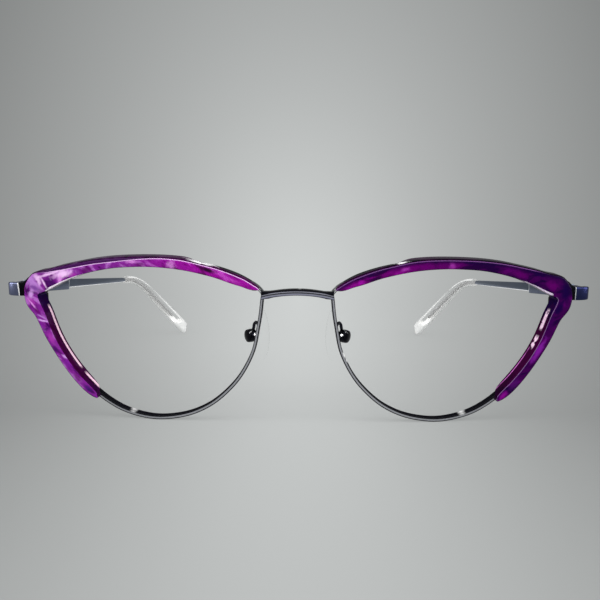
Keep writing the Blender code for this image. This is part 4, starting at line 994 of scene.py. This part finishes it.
for side in sides:
    for name in ("closing_screw", "hinge_screw", "hinge_slider", "pad_screw"):
        node = cadNodes[side + "_" + name]
        node.data.materials.clear()
        node.data.materials.append(screwSteel)
print("screws finished")


# the hinge's slider pulls out against its spring, which shortens towards the rod's head; here each spring is
# only a finer copy with a mesh of its own

springShape = {"shadeAngle": 60, "travel": 0.0012, "slideAxis": (-0.1564, 0.9852, -0.0695)}
for side in sides:
    coil = finerCopy(side + "_hinge_spring", springShape, [screwSteel])
    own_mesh(coil)
print("springs made")


# camera

cameraLook = {"place": (0.00166, -0.25512, 0.05176), "pitch": 0.118729, "yaw": -0.00581164,
              "roll": 0.00739304, "lens": 50.16, "sensor": 36.0, "nearest": 0.01}


def placeCamera():
    pitch, yaw, roll = cameraLook["pitch"], cameraLook["yaw"], cameraLook["roll"]
    forward = Vector((math.sin(yaw) * math.cos(pitch), math.cos(yaw) * math.cos(pitch), -math.sin(pitch)))
    across = Vector((math.cos(yaw), -math.sin(yaw), 0.0))
    upward = across.cross(forward)
    right = across * math.cos(roll) + upward * math.sin(roll)
    up = upward * math.cos(roll) - across * math.sin(roll)
    turn = Matrix((right, up, -forward)).transposed().to_4x4()
    data = bpy.data.cameras.new("pictureCamera")
    data.lens = cameraLook["lens"]
    data.sensor_width = cameraLook["sensor"]
    data.clip_start = cameraLook["nearest"]
    camera = newObject("pictureCamera", data)
    camera.matrix_world = Matrix.Translation(cameraLook["place"]) @ turn
    bpy.context.scene.camera = camera
    return forward, right, up


viewForward, viewRight, viewUp = placeCamera()


# seamless sheet: floor that curves up behind, with a painted pool of light: gray that falls off from the
# middle of the view

sheetLook = {"halfWidth": 3.0, "front": -2.0, "bend": 1.0, "bendRadius": 0.6, "bendSteps": 24, "height": 2.5,
             "weld": 0.0001, "edgeWithin": 0.001, "widening": 1.55, "least": 0.2, "reach": 0.67,
             "levels": (0.651, 0.61, 0.546, 0.479, 0.423, 0.375, 0.333, 0.292, 0.253),
             "tint": (0.969, 1.0, 0.991), "shadowShare": 0.3, "shadowReach": (0.32, 0.1), "litLevel": 0.78}


def makeSheet():
    bpy.ops.object.select_all(action="DESELECT")
    bpy.ops.mesh.primitive_plane_add(size=2.0, location=(0.0, 0.0, 0.0))
    sheet = bpy.context.object
    sheet.name = "seamlessSheet"
    front, bend = sheetLook["front"], sheetLook["bend"]
    bpy.ops.object.mode_set(mode="EDIT")
    bpy.ops.transform.resize(value=(sheetLook["halfWidth"], (bend - front) / 2, 1.0))
    bpy.ops.transform.translate(value=(0.0, (bend + front) / 2, 0.0))
    bpy.ops.mesh.select_all(action="DESELECT")
    bpy.ops.object.mode_set(mode="OBJECT")
    for edge in sheet.data.edges:
        ends = [sheet.data.vertices[number].co.y for number in edge.vertices]
        edge.select = min(ends) > bend - sheetLook["edgeWithin"]
    bpy.ops.object.mode_set(mode="EDIT")
    bpy.ops.mesh.select_mode(type="EDGE")
    bpy.ops.mesh.spin(steps=sheetLook["bendSteps"], angle=math.radians(90),
                      center=(0.0, bend, sheetLook["bendRadius"]), axis=(1.0, 0.0, 0.0))
    bpy.ops.mesh.extrude_region_move(TRANSFORM_OT_translate={"value": (0.0, 0.0, sheetLook["height"])})
    bpy.ops.mesh.select_all(action="SELECT")
    bpy.ops.mesh.remove_doubles(threshold=sheetLook["weld"])
    bpy.ops.mesh.normals_make_consistent(inside=False)
    bpy.ops.object.mode_set(mode="OBJECT")
    bpy.ops.object.shade_smooth()
    return sheet


def sheetMaterial():
    material, shader, point = newMaterial("paleGraySheet")
    tree = material.node_tree
    offset = calculateVector(tree, "SUBTRACT", point, cameraLook["place"])
    away = calculateVector(tree, "DOT_PRODUCT", offset, viewForward)
    flat = addNode(tree, "ShaderNodeCombineXYZ")
    setInputs(flat, Y=calculateVector(tree, "DOT_PRODUCT", offset, viewUp),
              X=calculateVector(tree, "DOT_PRODUCT", offset, viewRight * sheetLook["widening"]))
    length = calculateVector(tree, "LENGTH", flat.outputs[0])
    ahead = calculate(tree, "MAXIMUM", away, sheetLook["least"])
    spread = calculate(tree, "DIVIDE", length, ahead)
    share = calculate(tree, "DIVIDE", spread, sheetLook["reach"])
    levels = sheetLook["levels"]
    stops = [(number / (len(levels) - 1), scaled(sheetLook["tint"], level))
             for number, level in enumerate(levels)]
    gray = colourRamp(tree, share, stops)
    setInputs(shader, Base_Color=brightened(tree, gray, sheetLook["litLevel"]), Roughness=0.9,
              Specular_IOR_Level=0.0)
    glow = addNode(tree, "ShaderNodeEmission")
    setInputs(glow, Color=gray)
    # the camera and reflections see the glow of the painted pool of light, with some of the lit sheet's real
    # shadow near the frame
    ray = addNode(tree, "ShaderNodeLightPath").outputs
    seen = calculate(tree, "MAXIMUM", ray["Is Camera Ray"], ray["Is Glossy Ray"])
    seen = calculate(tree, "MAXIMUM", seen, ray["Is Transmission Ray"])
    near = smoothStep(tree, calculateVector(tree, "LENGTH", point), *sheetLook["shadowReach"])
    keep = calculate(tree, "MULTIPLY_ADD", near, -sheetLook["shadowShare"], 1.0)
    mixed = addNode(tree, "ShaderNodeMixShader")
    fillInput(mixed, 0, product(tree, [seen, keep]))
    fillInput(mixed, 1, shader.outputs["BSDF"])
    fillInput(mixed, 2, glow.outputs["Emission"])
    output = shader.outputs["BSDF"].links[0].to_node
    setInputs(output, Surface=mixed.outputs["Shader"])
    return material


sheet = makeSheet()
sheet.data.materials.append(sheetMaterial())
print("sheet made")


# soft studio lamps: place, aim, size and power
lampLooks = {
    "overheadSoftbox": ((0.0, -0.45, 0.6), (0.0, -0.05, 0.02), (1.5, 0.9), 7.5),
    "frontSoftbox": ((0.0, -1.0, 0.1), (0.0, -0.06, 0.02), (1.6, 0.8), 3.0),
    "leftSoftbox": ((-0.7, -0.3, 0.25), (0.0, -0.03, 0.02), (0.3, 0.5), 3.0),
    "rightSoftbox": ((0.7, -0.3, 0.25), (0.0, -0.03, 0.02), (0.3, 0.5), 3.0),
}
for name, (place, aim, size, power) in lampLooks.items():
    data = bpy.data.lights.new(name, "AREA")
    data.shape = "RECTANGLE"
    data.size, data.size_y = size
    data.energy = power
    lamp = newObject(name, data)
    lamp.location = place
    lamp.rotation_euler = (Vector(place) - Vector(aim)).to_track_quat("Z", "Y").to_euler()

worldLook = {"colour": (0.9, 0.93, 0.95), "level": 0.2}
world = bpy.data.worlds.new("studio")
world.use_nodes = True
bpy.context.scene.world = world
setInputs(world.node_tree.nodes["Background"], Color=scaled(worldLook["colour"]), Strength=worldLook["level"])
bpy.context.scene.view_settings.view_transform = "Standard"
print("light made")
